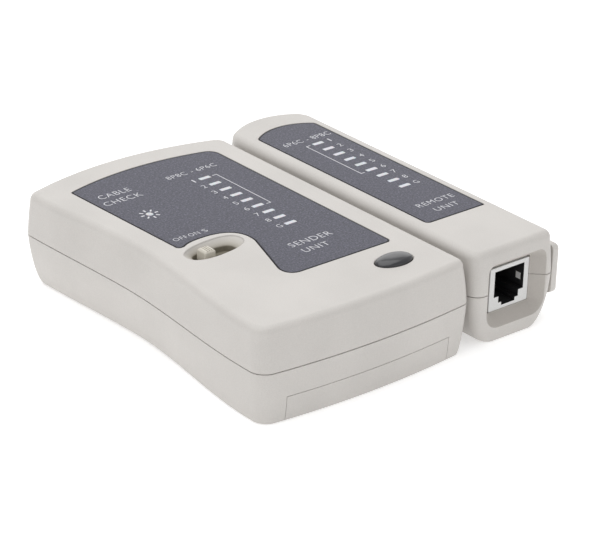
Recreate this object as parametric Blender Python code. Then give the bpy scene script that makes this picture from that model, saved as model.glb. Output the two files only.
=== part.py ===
"""Network cable tester: a main unit and a remote unit that stand side by side.

Frame: +X runs from the main unit to the remote unit, +Y from the near ends to the arched far
ends, +Z up. The origin is below the middle of the pair, on the surface they stand on.
Every number below is in millimetres; make_object() turns a finished mesh into metres.
"""

import math
from collections import namedtuple

import bmesh
import bpy
from mathutils import Matrix, Vector

MM = 0.001
GAP = 0.3  # clearance between pieces that touch or slide on each other

# ---------------------------------------------------------------- driving dimensions
LENGTH = 125.0
HEIGHT = 30.0
PARTING_Z = 16.5
WALL = 2.2
TOP_EDGE_RADIUS = 2.4
LIP_INSET = 1.3  # the lower shell's locating lip
LIP_HEIGHT = 1.6
NEAR_Y = -LENGTH / 2
FAR_Y = LENGTH / 2

# Plan outline of a housing at one height. The left side may swell at both ends of a waist.
# Three corners share a radius; the near left corner has a softer one of its own.
Plan = namedtuple("Plan", "right far_left waist near_left far near corner soft_corner")

MAIN_PARTING = Plan(21.0, -55.2, -54.1, -58.8, FAR_Y, NEAR_Y, 2.9, 4.5)
MAIN_TOP = Plan(20.1, -54.8, -51.7, -58.4, FAR_Y - 0.9, NEAR_Y + 1.5, 2.9, 4.5)
MAIN_BASE = Plan(18.9, -50.9, -49.4, -56.6, FAR_Y - 4.0, NEAR_Y + 1.3, 2.8, 4.0)
MAIN_MIDDLE_X = -18.5
MAIN_FAR_RADIUS = 115.0
MAIN_NEAR_RADIUS = 300.0
WAIST_Y = 8.0
SWELL_FAR_Y = 54.0
SWELL_NEAR_Y = -54.0

REMOTE_NEAR_Y = -60.0
REMOTE_FAR_Y = 61.5
REMOTE_PARTING = Plan(55.6, 22.8, 22.8, 22.8, REMOTE_FAR_Y, REMOTE_NEAR_Y, 2.9, 4.0)
REMOTE_TOP = Plan(55.2, 23.2, 23.2, 23.2, REMOTE_FAR_Y - 0.9, REMOTE_NEAR_Y + 0.9, 2.9, 4.0)
REMOTE_BASE = Plan(48.2, 30.0, 30.0, 30.0, REMOTE_FAR_Y - 7.0, REMOTE_NEAR_Y + 1.0, 2.6, 2.6)
REMOTE_MIDDLE_X = 39.65
REMOTE_FAR_RADIUS = 24.0
REMOTE_NEAR_RADIUS = 2000.0

# face labels, inset in a shallow pocket of each top shell
LABEL_THICKNESS = 0.5
POCKET_DEPTH = LABEL_THICKNESS + GAP
MAIN_LABEL = {"right": 11.0, "left": -43.9, "near": -35.5, "far": 51.7, "arc": 100.0}
MAIN_LABEL_NEAR_LEFT = [(-27.7, -30.0), (-29.4, -35.5), (-24.0, -35.5)]
MAIN_LABEL_DISH_GAP = (1.4, 2.6)
REMOTE_LABEL = {"right": 51.2, "left": 27.9, "near": -32.8, "far": 50.2, "arc": 18.3}

# indicator lamps
LAMP_COUNT = 9
LAMP_PITCH = 5.08
LAMP_LENGTH = 4.7
LAMP_WIDTH = 1.9
LAMP_TOP = 29.0
LAMP_CHAMFER = 0.2
LAMP_WINDOW_GAP = 0.25
MAIN_LAMP_X = -4.5
REMOTE_LAMP_X = 41.3
FIRST_LAMP_Y = 32.7
POWER_LAMP = (-34.5, 21.5)
POWER_LAMP_RADIUS = 1.5
POWER_LAMP_PROFILE = [(0.35, 29.0), (0.8, 28.6), (1.0, 27.9), (1.0, 25.9), (1.2, 25.9)]

# slide switch in its oval dish
DISH = (-33.7, -8.8)
DISH_RADII = (10.2, 5.8)
DISH_FLOOR_RADII = (8.8, 4.2)
DISH_DEPTH = 3.6
DISH_BLOCK_Z = (25.4, 28.6)
OVAL_POWER = 0.83  # 1 is an ellipse, less is fuller at the corners
SWITCH_STEP = 3.5
SLOT_HALF = (SWITCH_STEP + 3.1, 1.6)
KNOB_SIZE = 4.1
KNOB_TOP = HEIGHT + 0.8
STEM_SIZE = 2.4
STEM_BOTTOM = 23.2
SWITCH_BODY_HALF = (8.2, 3.4)
SWITCH_BODY_Z = (19.6, 25.1)

# oval push button with a flange under the shell, and the small switch it presses
BUTTON = (2.6, -46.0)
BUTTON_RADII = (6.5, 3.9)
BUTTON_FLANGE = 0.8
BUTTON_FLANGE_Z = (27.0, 27.5)
BUTTON_DOME = [(1.0, 30.0), (0.985, 30.5), (0.93, 30.95), (0.80, 31.3), (0.55, 31.5), (0.25, 31.6)]
BUTTON_SWITCH_SIZE = 6.0
BUTTON_SWITCH_TOP = 25.5
PLUNGER = (1.7, 26.0)  # radius and top

# circuit boards hang under the top shells, with the jacks below them
BOARD_Z = 22.9
BOARD_THICKNESS = 1.6
BOARD_TOP = BOARD_Z + BOARD_THICKNESS
MAIN_BOARD = ((-47.0, -55.0), (15.0, 52.0))
REMOTE_BOARD = ((26.4, -52.0), (51.4, 50.0))
SWITCH_WINDOW_HALF = (8.8, 4.0)
CHIPS = {"timer_chip": (-2.0, -8.0, 8), "counter_chip": (-8.0, 10.0, 16)}  # x, y and pins
CHIP_Z = (19.2, 22.6)
CHIP_HALF_WIDTH = 3.2
CHIP_PIN_PITCH = 2.54

# solid blocks at the ends with jacks bound the hollows of the housings
MAIN_HOLLOW_Y = FAR_Y - 9.0
REMOTE_HOLLOW_Y = (REMOTE_NEAR_Y + 6.0, REMOTE_FAR_Y - 9.0)
REMOTE_LIP_Y = (REMOTE_HOLLOW_Y[0] + GAP, REMOTE_HOLLOW_Y[1] - GAP)

# jacks: housing width, plug opening's width and number of contacts
Jack = namedtuple("Jack", "width opening pins")
JACK_8P = Jack(15.9, 12.0, 8)
JACK_6P = Jack(13.2, 9.9, 6)
JACK_BOTTOM = 8.6
JACK_TOP = 22.6
JACK_DEPTH = 18.0
PLUG_TOP = 21.3
PLUG_DEPTH = 13.0
PLUG_STEPS = [(1.0, 12.9), (0.68, 10.8), (0.46, 9.7)]  # share of the opening's width, lower edge
CONTACT_PITCH = 1.02
CONTACT_BAR_Z = (17.9, 19.6)
CONTACT_BAR_DEPTH = 0.9
CONTACT_SECTION = (0.4, 0.3)
CONTACT_TIP = (2.0, 20.6)  # depth behind the jack's face, and height
RECESS_Z = (4.5, 25.8)
MAIN_RECESS_X = (-44.5, 4.2)
MAIN_FLOOR_Y = FAR_Y - 5.5
MAIN_JACKS = {"main_jack_8p": (JACK_8P, -32.0), "main_jack_6p": (JACK_6P, -7.0)}
REMOTE_NEAR_RECESS_X = (28.2, 52.0)
REMOTE_FAR_RECESS_X = (30.2, 49.1)
REMOTE_FLOOR_Y = (REMOTE_NEAR_Y + 3.5, REMOTE_FAR_Y - 6.0)

# battery bay under the near end
BATTERY_LOW = (-43.0, -57.3, 2.7)
BATTERY_SIZE = (46.0, 26.2, 17.2)
BATTERY_EDGE_RADIUS = 2.2
TERMINALS = [(-6.3, 4.2), (6.3, 2.9)]  # offset from the middle, and radius
TERMINAL_LENGTH = 2.2
SNAP_THICKNESS = 3.2
DOOR_X = (-49.3, 12.4)
DOOR_BACK_Y = -30.2
DOOR_Z = 7.9
BAY_WALL = ((-44.0, -29.6, 1.0), (6.0, -28.2, PARTING_Z + 1.0))
GRIP_LENGTH = 18.0
GRIP_WIDTH = 1.2
GRIP_DEPTH = 0.7
GRIPS_Y = (-50.0, -46.5, -43.0, -39.5)
LEAD_RADIUS = 0.6

# screws and the posts they hold together
SCREW_BOSS_RADIUS = 3.2
SCREW_POST_RADIUS = SCREW_BOSS_RADIUS + 1.2
SCREW_BOSS_TOP = 28.6
SCREW_HOLE_TOP = 26.0
SCREW_RADIUS = 1.4
SCREW_TIP_Z = 24.0
SCREW_HEAD_RADIUS = 2.6
SCREW_HEAD_Z = (0.8, 2.7)
CROSS_ARM = 1.4
CROSS_HALF_WIDTH = 0.3
CROSS_TOP = 1.9
MAIN_SCREWS = [(-45.5, 44.0), (12.5, 44.0), (-45.5, -22.0), (12.5, -22.0)]
REMOTE_SCREWS = [(33.2, -28.0), (33.2, 27.0)]

# hook rail on the remote unit's outer side
RAIL_PLATE_X = (56.4, 58.8)
RAIL_Y = (-58.0, -24.0)
RAIL_Z = (8.0, 24.0)
RAIL_NECK_X = (52.0, 57.2)
RAIL_NECK_Y = (-56.5, -29.0)
RAIL_NECK_Z = (11.0, 21.0)
RAIL_FOOT_X = (50.9, 52.4)
RAIL_FOOT_Y = (-52.5, -27.5)
RAIL_FOOT_Z = (9.8, 22.0)

SHELL_COLOUR = (0.72, 0.70, 0.66)
LABEL_COLOUR = (0.10, 0.10, 0.12)


# ---------------------------------------------------------------- scene and materials
def clear_scene():
    for item in list(bpy.data.objects):
        bpy.data.objects.remove(item)


def new_collection(name):
    collection = bpy.data.collections.new(name)
    bpy.context.scene.collection.children.link(collection)
    return collection


def new_material(name, colour, roughness, metallic=0.0):
    material = bpy.data.materials.new(name)
    material.use_nodes = True
    shader = material.node_tree.nodes["Principled BSDF"]
    shader.inputs["Base Color"].default_value = (*colour, 1.0)
    shader.inputs["Roughness"].default_value = roughness
    shader.inputs["Metallic"].default_value = metallic
    material.diffuse_color = (*colour, 1.0)
    return material


def make_object(name, mesh_builder, collection):
    """Turn a bmesh in millimetres into an object in metres."""
    bmesh.ops.recalc_face_normals(mesh_builder, faces=mesh_builder.faces)
    bmesh.ops.scale(mesh_builder, vec=(MM, MM, MM), verts=mesh_builder.verts)
    mesh = bpy.data.meshes.new(name)
    mesh_builder.to_mesh(mesh)
    mesh_builder.free()
    item = bpy.data.objects.new(name, mesh)
    collection.objects.link(item)
    return item


def make_part(name, mesh_builder, material, smooth_degrees=35.0):
    item = make_object(name, mesh_builder, PARTS)
    item.data.materials.append(material)
    item.data.shade_smooth()
    item.data.set_sharp_from_angle(angle=math.radians(smooth_degrees))
    return item


def apply_boolean(item, mesh_builder, operation):
    """Cut, join or intersect a part with another solid, kept as a hidden guide object."""
    count = len(item.modifiers)
    cutter = make_object(f"{item.name}_{operation.lower()}_{count}", mesh_builder, CUTTERS)
    cutter.hide_render = True
    cutter.display_type = "WIRE"
    modifier = item.modifiers.new(f"{operation.lower()}_{count}", "BOOLEAN")
    modifier.operation = operation
    modifier.object = cutter
    modifier.solver = "EXACT"


def cut(item, *solids):
    for solid in solids:
        apply_boolean(item, solid, "DIFFERENCE")


def join(item, *solids):
    for solid in solids:
        apply_boolean(item, solid, "UNION")


def keep_inside(item, solid):
    apply_boolean(item, solid, "INTERSECT")


# ---------------------------------------------------------------- solids
def box(low, high):
    solid = bmesh.new()
    bmesh.ops.create_cube(solid, size=1.0)
    size = [b - a for a, b in zip(low, high)]
    middle = [(a + b) / 2 for a, b in zip(low, high)]
    bmesh.ops.scale(solid, vec=size, verts=solid.verts)
    bmesh.ops.translate(solid, vec=middle, verts=solid.verts)
    return solid


def around(centre, half, z_low, z_high):
    """An upright box about a centre, given half its width and half its length."""
    return box(
        (centre[0] - half[0], centre[1] - half[1], z_low), (centre[0] + half[0], centre[1] + half[1], z_high))


def boxes(*corners):
    """Several boxes that stand apart, as one cutter."""
    solid = bmesh.new()
    for low, high in corners:
        middle = Vector((a + b) / 2 for a, b in zip(low, high))
        size = Vector(b - a for a, b in zip(low, high))
        place = Matrix.Translation(middle) @ Matrix.Diagonal((*size, 1.0))
        bmesh.ops.create_cube(solid, size=1.0, matrix=place)
    return solid


def cylinders(centres, radius, z_low, z_high, sides=16):
    """Several upright cylinders that stand apart, as one cutter."""
    solid = bmesh.new()
    for x, y in centres:
        bmesh.ops.create_cone(
            solid, cap_ends=True, segments=sides, radius1=radius, radius2=radius,
            depth=z_high - z_low, matrix=Matrix.Translation((x, y, (z_low + z_high) / 2)),
        )
    return solid


def cylinder(centre, radius, z_low, z_high, sides=20):
    return cylinders([centre], radius, z_low, z_high, sides)


def loft(outlines):
    """Skin a stack of outlines, each a list of 3-D points of one count, and cap both ends."""
    solid = bmesh.new()
    rings = [[solid.verts.new(point) for point in outline] for outline in outlines]
    count = len(rings[0])
    for low, high in zip(rings, rings[1:]):
        for i in range(count):
            j = (i + 1) % count
            solid.faces.new((low[i], low[j], high[j], high[i]))
    solid.faces.new(list(reversed(rings[0])))
    solid.faces.new(rings[-1])
    return solid


def at_height(outline, z):
    return [(x, y, z) for x, y in outline]


def prism(outline, z_low, z_high):
    return loft([at_height(outline, z_low), at_height(outline, z_high)])


def turned(centre, profile, sides=24):
    """A solid of revolution about a vertical axis; profile is (radius, z), top to bottom."""
    rings = []
    for radius, z in profile:
        rings.append([
            (centre[0] + radius * math.cos(turn), centre[1] + radius * math.sin(turn), z)
            for turn in (2 * math.pi * k / sides for k in range(sides))
        ])
    return loft(rings)


# ---------------------------------------------------------------- outlines
def smooth_step(value):
    value = min(max(value, 0.0), 1.0)
    return value * value * (3.0 - 2.0 * value)


def mix(a, b, part):
    return a + (b - a) * part


def mix_plans(a, b, part):
    return Plan(*(mix(p, q, part) for p, q in zip(a, b)))


def rounded_corner(start, corner, end, steps):
    """Points of a round corner: a conic from start to end, pulled towards corner."""
    weight = math.sqrt(0.5)
    points = []
    for k in range(steps + 1):
        t = k / steps
        parts = ((1 - t) ** 2, 2 * weight * t * (1 - t), t * t)
        total = sum(parts)
        points.append(tuple(
            sum(part * place[axis] for part, place in zip(parts, (start, corner, end))) / total
            for axis in (0, 1)
        ))
    return points


def spread(start, end, steps):
    """Values strictly between start and end."""
    return [mix(start, end, k / steps) for k in range(1, steps)]


def housing_outline(plan, middle_x, far_radius, near_radius, side_steps=14, end_steps=10):
    """Anticlockwise plan outline: near end, right side, arched far end and waisted left side."""
    def left(y):
        if y > WAIST_Y:
            swell = smooth_step((y - WAIST_Y) / (SWELL_FAR_Y - WAIST_Y))
            return mix(plan.waist, plan.far_left, swell)
        swell = smooth_step((WAIST_Y - y) / (WAIST_Y - SWELL_NEAR_Y))
        return mix(plan.waist, plan.near_left, swell)

    def far(x):
        return plan.far - (far_radius - math.sqrt(far_radius**2 - (x - middle_x) ** 2))

    def near(x):
        return plan.near + (near_radius - math.sqrt(near_radius**2 - (x - middle_x) ** 2))

    r, soft = plan.corner, plan.soft_corner
    near_left = (plan.near_left, near(plan.near_left))
    near_right = (plan.right, near(plan.right))
    far_right = (plan.right, far(plan.right))
    far_left = (plan.far_left, far(plan.far_left))
    points = []
    steps = 4
    x_low, x_high = near_left[0] + soft, near_right[0] - r
    points += [(x, near(x)) for x in spread(x_low, x_high, end_steps)]
    points += rounded_corner(
        (x_high, near(x_high)), near_right, (plan.right, near_right[1] + r), steps)
    points += [(plan.right, y) for y in spread(near_right[1] + r, far_right[1] - r, 3)]
    x_high, x_low = far_right[0] - r, far_left[0] + r
    points += rounded_corner(
        (plan.right, far_right[1] - r), far_right, (x_high, far(x_high)), steps)
    points += [(x, far(x)) for x in spread(x_high, x_low, end_steps)]
    y_high, y_low = far_left[1] - r, near_left[1] + soft
    points += rounded_corner(
        (x_low, far(x_low)), far_left, (left(y_high), y_high), steps)
    points += [(left(y), y) for y in spread(y_high, y_low, side_steps)]
    x_low = near_left[0] + soft
    points += rounded_corner(
        (left(y_low), y_low), near_left, (x_low, near(x_low)), steps)
    return points


def inset(outline, distance):
    """Move an anticlockwise outline inwards by a distance."""
    moved = []
    count = len(outline)
    for i, point in enumerate(outline):
        before = Vector(outline[i - 1])
        here = Vector(point)
        after = Vector(outline[(i + 1) % count])
        first = (here - before).normalized()
        second = (after - here).normalized()
        inward = Vector((-(first.y + second.y), first.x + second.x)).normalized()
        stretch = max(0.4, inward.dot(Vector((-first.y, first.x))))
        moved.append(tuple(here + inward * (distance / stretch)))
    return moved


def ellipse(centre, radii, sides=32):
    turns = [2 * math.pi * k / sides for k in range(sides)]
    return [(centre[0] + radii[0] * math.cos(t), centre[1] + radii[1] * math.sin(t)) for t in turns]


def oval(centre, radii, degrees=range(0, 360, 12)):
    """An ellipse with fuller corners, or the part of it at the given angles."""
    points = []
    for angle in degrees:
        across, along = math.cos(math.radians(angle)), math.sin(math.radians(angle))
        points.append((
            centre[0] + radii[0] * math.copysign(abs(across) ** OVAL_POWER, across),
            centre[1] + radii[1] * math.copysign(abs(along) ** OVAL_POWER, along),
        ))
    return points


def rounded_rectangle(x_low, x_high, y_low, y_high, radius, steps=3):
    corners = [
        ((x_high - radius, y_low), (x_high, y_low), (x_high, y_low + radius)),
        ((x_high, y_high - radius), (x_high, y_high), (x_high - radius, y_high)),
        ((x_low + radius, y_high), (x_low, y_high), (x_low, y_high - radius)),
        ((x_low, y_low + radius), (x_low, y_low), (x_low + radius, y_low)),
    ]
    points = []
    for corner in corners:
        points += rounded_corner(*corner, steps)
    return points


# ---------------------------------------------------------------- housings
Housing = namedtuple("Housing", "parting top base middle_x far_radius near_radius bulge side_steps")
MAIN = Housing(
    MAIN_PARTING, MAIN_TOP, MAIN_BASE, MAIN_MIDDLE_X, MAIN_FAR_RADIUS, MAIN_NEAR_RADIUS, 0.35, 12)
REMOTE = Housing(
    REMOTE_PARTING, REMOTE_TOP, REMOTE_BASE, REMOTE_MIDDLE_X, REMOTE_FAR_RADIUS, REMOTE_NEAR_RADIUS,
    0.1, 3)


def housing_section(housing, z, distance=0.0):
    """Outline of the housing's outside at height z, moved inwards by distance."""
    shoulder = HEIGHT - TOP_EDGE_RADIUS
    extra = 0.0
    if z >= PARTING_Z:
        t = min(1.0, (z - PARTING_Z) / (shoulder - PARTING_Z))
        plan = mix_plans(housing.parting, housing.top, 0.5 * t + 0.5 * t * t)
        if z > shoulder:
            rise = min(1.0, (z - shoulder) / TOP_EDGE_RADIUS)
            extra = TOP_EDGE_RADIUS * (1.0 - math.sqrt(1.0 - rise * rise))
    else:
        t = min(1.0, (PARTING_Z - z) / PARTING_Z)
        curve = 1.0 - math.sqrt(1.0 - t * t)
        plan = mix_plans(housing.parting, housing.base, mix(curve, t, housing.bulge))
    outline = housing_outline(
        plan, housing.middle_x, housing.far_radius, housing.near_radius, housing.side_steps)
    return at_height(inset(outline, distance + extra), z)


def top_levels():
    """Heights of the upper half's sections: its wall, then its rounded top edge."""
    shoulder = HEIGHT - TOP_EDGE_RADIUS
    wall = [PARTING_Z + GAP / 2, mix(PARTING_Z, shoulder, 0.5), shoulder]
    edge = [shoulder + TOP_EDGE_RADIUS * math.sin(math.radians(a)) for a in (30, 60, 80, 90)]
    return wall + edge


def base_levels():
    """Heights of the lower half's sections, from the base up to the parting line."""
    angles = (90, 78, 64, 48, 30)
    heights = [PARTING_Z * (1.0 - math.sin(math.radians(a))) for a in angles]
    return heights + [PARTING_Z - GAP / 2]


def top_shell_solid(housing):
    return loft([housing_section(housing, z) for z in top_levels()])


def top_cavity(housing):
    """Hollow of the upper shell, with the rebate that takes the lower shell's lip."""
    rebate = LIP_INSET - GAP
    rebate_top = PARTING_Z + LIP_HEIGHT + GAP
    inner = [rebate_top, mix(PARTING_Z, HEIGHT, 0.6), HEIGHT - TOP_EDGE_RADIUS, HEIGHT - WALL]
    sections = [
        at_height([p[:2] for p in housing_section(housing, PARTING_Z, rebate)], PARTING_Z - 1.0),
        housing_section(housing, rebate_top, rebate),
    ]
    return loft(sections + [housing_section(housing, z, WALL) for z in inner])


def base_shell_solid(housing):
    return loft([housing_section(housing, z) for z in base_levels()])


def base_lip(housing):
    """The lower shell's locating lip, still solid."""
    outline = [p[:2] for p in housing_section(housing, PARTING_Z, LIP_INSET)]
    return prism(outline, PARTING_Z - 2.0, PARTING_Z + LIP_HEIGHT)


def base_cavity(housing):
    inner = [WALL, 5.0, 9.0, PARTING_Z - 2.0, PARTING_Z]
    sections = [housing_section(housing, z, WALL) for z in inner]
    top = at_height([p[:2] for p in sections[-1]], PARTING_Z + LIP_HEIGHT + 1.0)
    return loft(sections + [top])


def trim(solid, point, normal):
    """Cut away what lies on the side that normal points to, and close the cut."""
    geometry = solid.verts[:] + solid.edges[:] + solid.faces[:]
    result = bmesh.ops.bisect_plane(
        solid, geom=geometry, plane_co=point, plane_no=normal, clear_outer=True)
    edges = [part for part in result["geom_cut"] if isinstance(part, bmesh.types.BMEdge)]
    bmesh.ops.edgeloop_fill(solid, edges=edges)
    return solid


def trimmed_hollow(solid, y_low, y_high):
    """Shorten a hollow so that solid blocks are left at the housing's ends."""
    if y_low is not None:
        trim(solid, (0, y_low, 0), (0, -1, 0))
    if y_high is not None:
        trim(solid, (0, y_high, 0), (0, 1, 0))
    return solid


def extrude_y(outline, y_low, y_high):
    """A solid with a constant section, outline being (x, z) points."""
    return loft([[(x, y, z) for x, z in outline] for y in (y_low, y_high)])


def extrude_x(outline, x_low, x_high):
    """A solid with a constant section, outline being (y, z) points."""
    return loft([[(x, y, z) for y, z in outline] for x in (x_low, x_high)])


# ---------------------------------------------------------------- shared details
def jack_front(facing, face_y):
    """Span of y from a jack's front face to its back; facing is -1 (near) or +1 (far)."""
    back = face_y - facing * JACK_DEPTH
    return min(face_y, back), max(face_y, back)


def recess_cutter(x_low, x_high, mouth_y, floor_y, margin):
    """Funnel of a jack recess: a wide mouth that narrows towards its floor."""
    outer = rounded_rectangle(x_low, x_high, *RECESS_Z, 3.0)
    inner = rounded_rectangle(
        x_low + margin, x_high - margin, RECESS_Z[0] + 3.4, RECESS_Z[1] - 2.4, 1.2)
    past = mouth_y + (mouth_y - floor_y)
    sections = [(outer, past), (outer, mouth_y), (inner, floor_y)]
    return loft([[(x, y, z) for x, z in outline] for outline, y in sections])


def jack_pocket(jack, x, y_low, y_high):
    half = jack.width / 2 + GAP
    return box((x - half, y_low, JACK_BOTTOM - GAP), (x + half, y_high, JACK_TOP + GAP))


def label_outline(size, far_radii, right_radius, near_left, notch=()):
    """A face label's outline: straight sides, an arched far edge and rounded corners.

    far_radii belong to its right and left corners; near_left is its last corner, already round.
    """
    right, left, near = size["right"], size["left"], size["near"]
    middle = (right + left) / 2

    def far(x):
        return size["far"] - (size["arc"] - math.sqrt(size["arc"] ** 2 - (x - middle) ** 2))

    r, s = far_radii
    points = rounded_corner((right - right_radius, near), (right, near), (right, near + right_radius), 3)
    points += rounded_corner((right, far(right) - r), (right, far(right)), (right - r, far(right - r)), 3)
    points += [(x, far(x)) for x in spread(right - r, left + s, 10)]
    points += rounded_corner((left + s, far(left + s)), (left, far(left)), (left, far(left) - s), 3)
    return points + list(notch) + near_left


def main_label_outline():
    """The main label bends round the switch dish, then runs straight to its near corner."""
    centre = (DISH[0] + 1.4, DISH[1] - 0.3)
    radii = tuple(r + gap for r, gap in zip(DISH_RADII, MAIN_LABEL_DISH_GAP))
    arc = oval(centre, radii, range(130, -19, -16))
    tip = (MAIN_LABEL["left"] + 1.3, arc[0][1] - 0.8)
    notch = rounded_corner((tip[0] - 0.05, tip[1] + 1.6), tip, arc[0], 3) + arc[1:]
    near_left = rounded_corner(*MAIN_LABEL_NEAR_LEFT, 5)
    return label_outline(MAIN_LABEL, (2.6, 0.6), 1.6, near_left, notch)


def remote_label_outline():
    left, near = REMOTE_LABEL["left"], REMOTE_LABEL["near"]
    near_left = rounded_corner((left, near + 1.5), (left, near), (left + 1.5, near), 4)
    return label_outline(REMOTE_LABEL, (1.3, 1.0), 0.8, near_left)


def lamp_positions(x):
    return [(x, FIRST_LAMP_Y - LAMP_PITCH * k) for k in range(LAMP_COUNT)]


def lamp_windows(x):
    half = (LAMP_LENGTH / 2 + LAMP_WINDOW_GAP, LAMP_WIDTH / 2 + LAMP_WINDOW_GAP)
    return boxes(*(
        ((px - half[0], py - half[1], 26.0), (px + half[0], py + half[1], HEIGHT + 1.0))
        for px, py in lamp_positions(x)
    ))


def screw_holes(centres):
    """Shank holes through the lower shell's posts, each with a wide pocket for the head."""
    shanks = cylinders(centres, SCREW_RADIUS + GAP, 2.0, PARTING_Z + 3.0)
    pockets = cylinders(centres, SCREW_HEAD_RADIUS + GAP, -1.0, SCREW_HEAD_Z[1] + GAP, 20)
    return shanks, pockets


# ---------------------------------------------------------------- main unit
def main_recess():
    return recess_cutter(*MAIN_RECESS_X, FAR_Y, MAIN_FLOOR_Y, 2.6)


def main_pockets():
    return [jack_pocket(jack, x, FAR_Y - 12.0, FAR_Y) for jack, x in MAIN_JACKS.values()]


def dish_solids():
    """The block under the switch dish, the dish itself and the knob's slot."""
    block = prism(oval(DISH, (DISH_RADII[0] + 1.0, DISH_RADII[1] + 1.0)), *DISH_BLOCK_Z)
    floor = HEIGHT - DISH_DEPTH
    sections = [
        (DISH_FLOOR_RADII, floor),
        (tuple(mix(a, b, 0.72) for a, b in zip(DISH_FLOOR_RADII, DISH_RADII)), floor + 1.4),
        (DISH_RADII, HEIGHT),
        (tuple(r + 0.8 for r in DISH_RADII), HEIGHT + 1.0),
    ]
    dish = loft([at_height(oval(DISH, radii), z) for radii, z in sections])
    slot = around(DISH, SLOT_HALF, 24.0, 28.0)
    return block, dish, slot


def make_main_top_shell():
    shell = make_part("main_top_shell", top_shell_solid(MAIN), SHELL)
    cut(shell, trimmed_hollow(top_cavity(MAIN), None, MAIN_HOLLOW_Y))
    block, dish, slot = dish_solids()
    posts = cylinders(MAIN_SCREWS, SCREW_BOSS_RADIUS, PARTING_Z + GAP, SCREW_BOSS_TOP)
    join(shell, posts, block)
    cut(shell, cylinders(MAIN_SCREWS, SCREW_RADIUS + GAP, PARTING_Z - 1.0, SCREW_HOLE_TOP))
    cut(shell, dish, slot)
    cut(shell, prism(inset(main_label_outline(), -GAP), HEIGHT - POCKET_DEPTH, HEIGHT + 1.0))
    hole = ellipse(BUTTON, tuple(r + GAP for r in BUTTON_RADII))
    cut(shell, prism(hole, BUTTON_FLANGE_Z[0], HEIGHT + 1.0))
    cut(shell, lamp_windows(MAIN_LAMP_X))
    cut(shell, cylinder(POWER_LAMP, POWER_LAMP_RADIUS + GAP, 26.0, HEIGHT + 1.0))
    cut(shell, main_recess(), *main_pockets())


def door_region(grow):
    """The part of the lower shell that the battery door takes up, made larger by grow."""
    return box(
        (DOOR_X[0] - grow, NEAR_Y - 5.0, -1.0), (DOOR_X[1] + grow, DOOR_BACK_Y + grow, DOOR_Z + grow))


def make_main_bottom_shell():
    shell = make_part("main_bottom_shell", base_shell_solid(MAIN), SHELL)
    join(shell, trimmed_hollow(base_lip(MAIN), None, MAIN_HOLLOW_Y - GAP))
    cut(shell, trimmed_hollow(base_cavity(MAIN), None, MAIN_HOLLOW_Y))
    posts = cylinders(MAIN_SCREWS, SCREW_POST_RADIUS, 1.0, PARTING_Z - GAP, 20)
    join(shell, posts, box(*BAY_WALL))
    cut(shell, *screw_holes(MAIN_SCREWS))
    cut(shell, door_region(GAP / 2))
    cut(shell, main_recess(), *main_pockets())


def make_battery_door():
    door = make_part("battery_door", base_shell_solid(MAIN), SHELL)
    keep_inside(door, door_region(-GAP / 2))
    cut(door, base_cavity(MAIN))
    middle = (DOOR_X[0] + DOOR_X[1]) / 2
    x_span = (middle - GRIP_LENGTH / 2, middle + GRIP_LENGTH / 2)
    half = GRIP_WIDTH / 2
    cut(door, boxes(*(
        ((x_span[0], y - half, -1.0), (x_span[1], y + half, GRIP_DEPTH)) for y in GRIPS_Y
    )))


def make_labels():
    for name, outline in (
        ("main_face_label", main_label_outline()), ("remote_face_label", remote_label_outline())
    ):
        make_part(name, prism(outline, HEIGHT - LABEL_THICKNESS, HEIGHT), LABEL)


def make_slide_switch():
    x, y = DISH[0] - SWITCH_STEP, DISH[1]
    half = KNOB_SIZE / 2
    levels = [(half, HEIGHT - DISH_DEPTH + GAP), (half, KNOB_TOP - 0.5), (half - 0.5, KNOB_TOP)]
    cap = loft([
        at_height(rounded_rectangle(x - h, x + h, y - h, y + h, 0.35, 2), z) for h, z in levels
    ])
    knob = make_part("switch_knob", cap, SHELL)
    join(knob, around((x, y), (STEM_SIZE / 2, STEM_SIZE / 2), STEM_BOTTOM, 28.0))
    body = make_part("switch_body", around(DISH, SWITCH_BODY_HALF, *SWITCH_BODY_Z), STEEL)
    cut(body, around(DISH, (SWITCH_STEP + 1.6, 1.6), STEM_BOTTOM - 0.4, 26.0))


def make_push_button():
    """The button and, below it on the board, the small switch that it presses."""
    flange = tuple(r + BUTTON_FLANGE for r in BUTTON_RADII)
    low, high = BUTTON_FLANGE_Z
    sections = [(flange, low), (flange, high), (BUTTON_RADII, high)]
    sections += [(tuple(r * share for r in BUTTON_RADII), z) for share, z in BUTTON_DOME]
    make_part(
        "push_button", loft([at_height(ellipse(BUTTON, radii, 28), z) for radii, z in sections]),
        BLACK)
    half = BUTTON_SWITCH_SIZE / 2
    switch = make_part(
        "button_switch", around(BUTTON, (half, half), BOARD_TOP + GAP, BUTTON_SWITCH_TOP), BLACK)
    radius, top = PLUNGER
    join(switch, cylinder(BUTTON, radius, BUTTON_SWITCH_TOP - GAP, top))


def make_board(name, extent, screws):
    """A circuit board with clearance holes for the screw posts."""
    (x_low, y_low), (x_high, y_high) = extent
    board = make_part(name, prism(
        rounded_rectangle(x_low, x_high, y_low, y_high, 2.0), BOARD_Z, BOARD_TOP), BOARD)
    cut(board, cylinders(screws, SCREW_BOSS_RADIUS + 0.5, BOARD_Z - 1.0, BOARD_TOP + 1.0))
    return board


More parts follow.
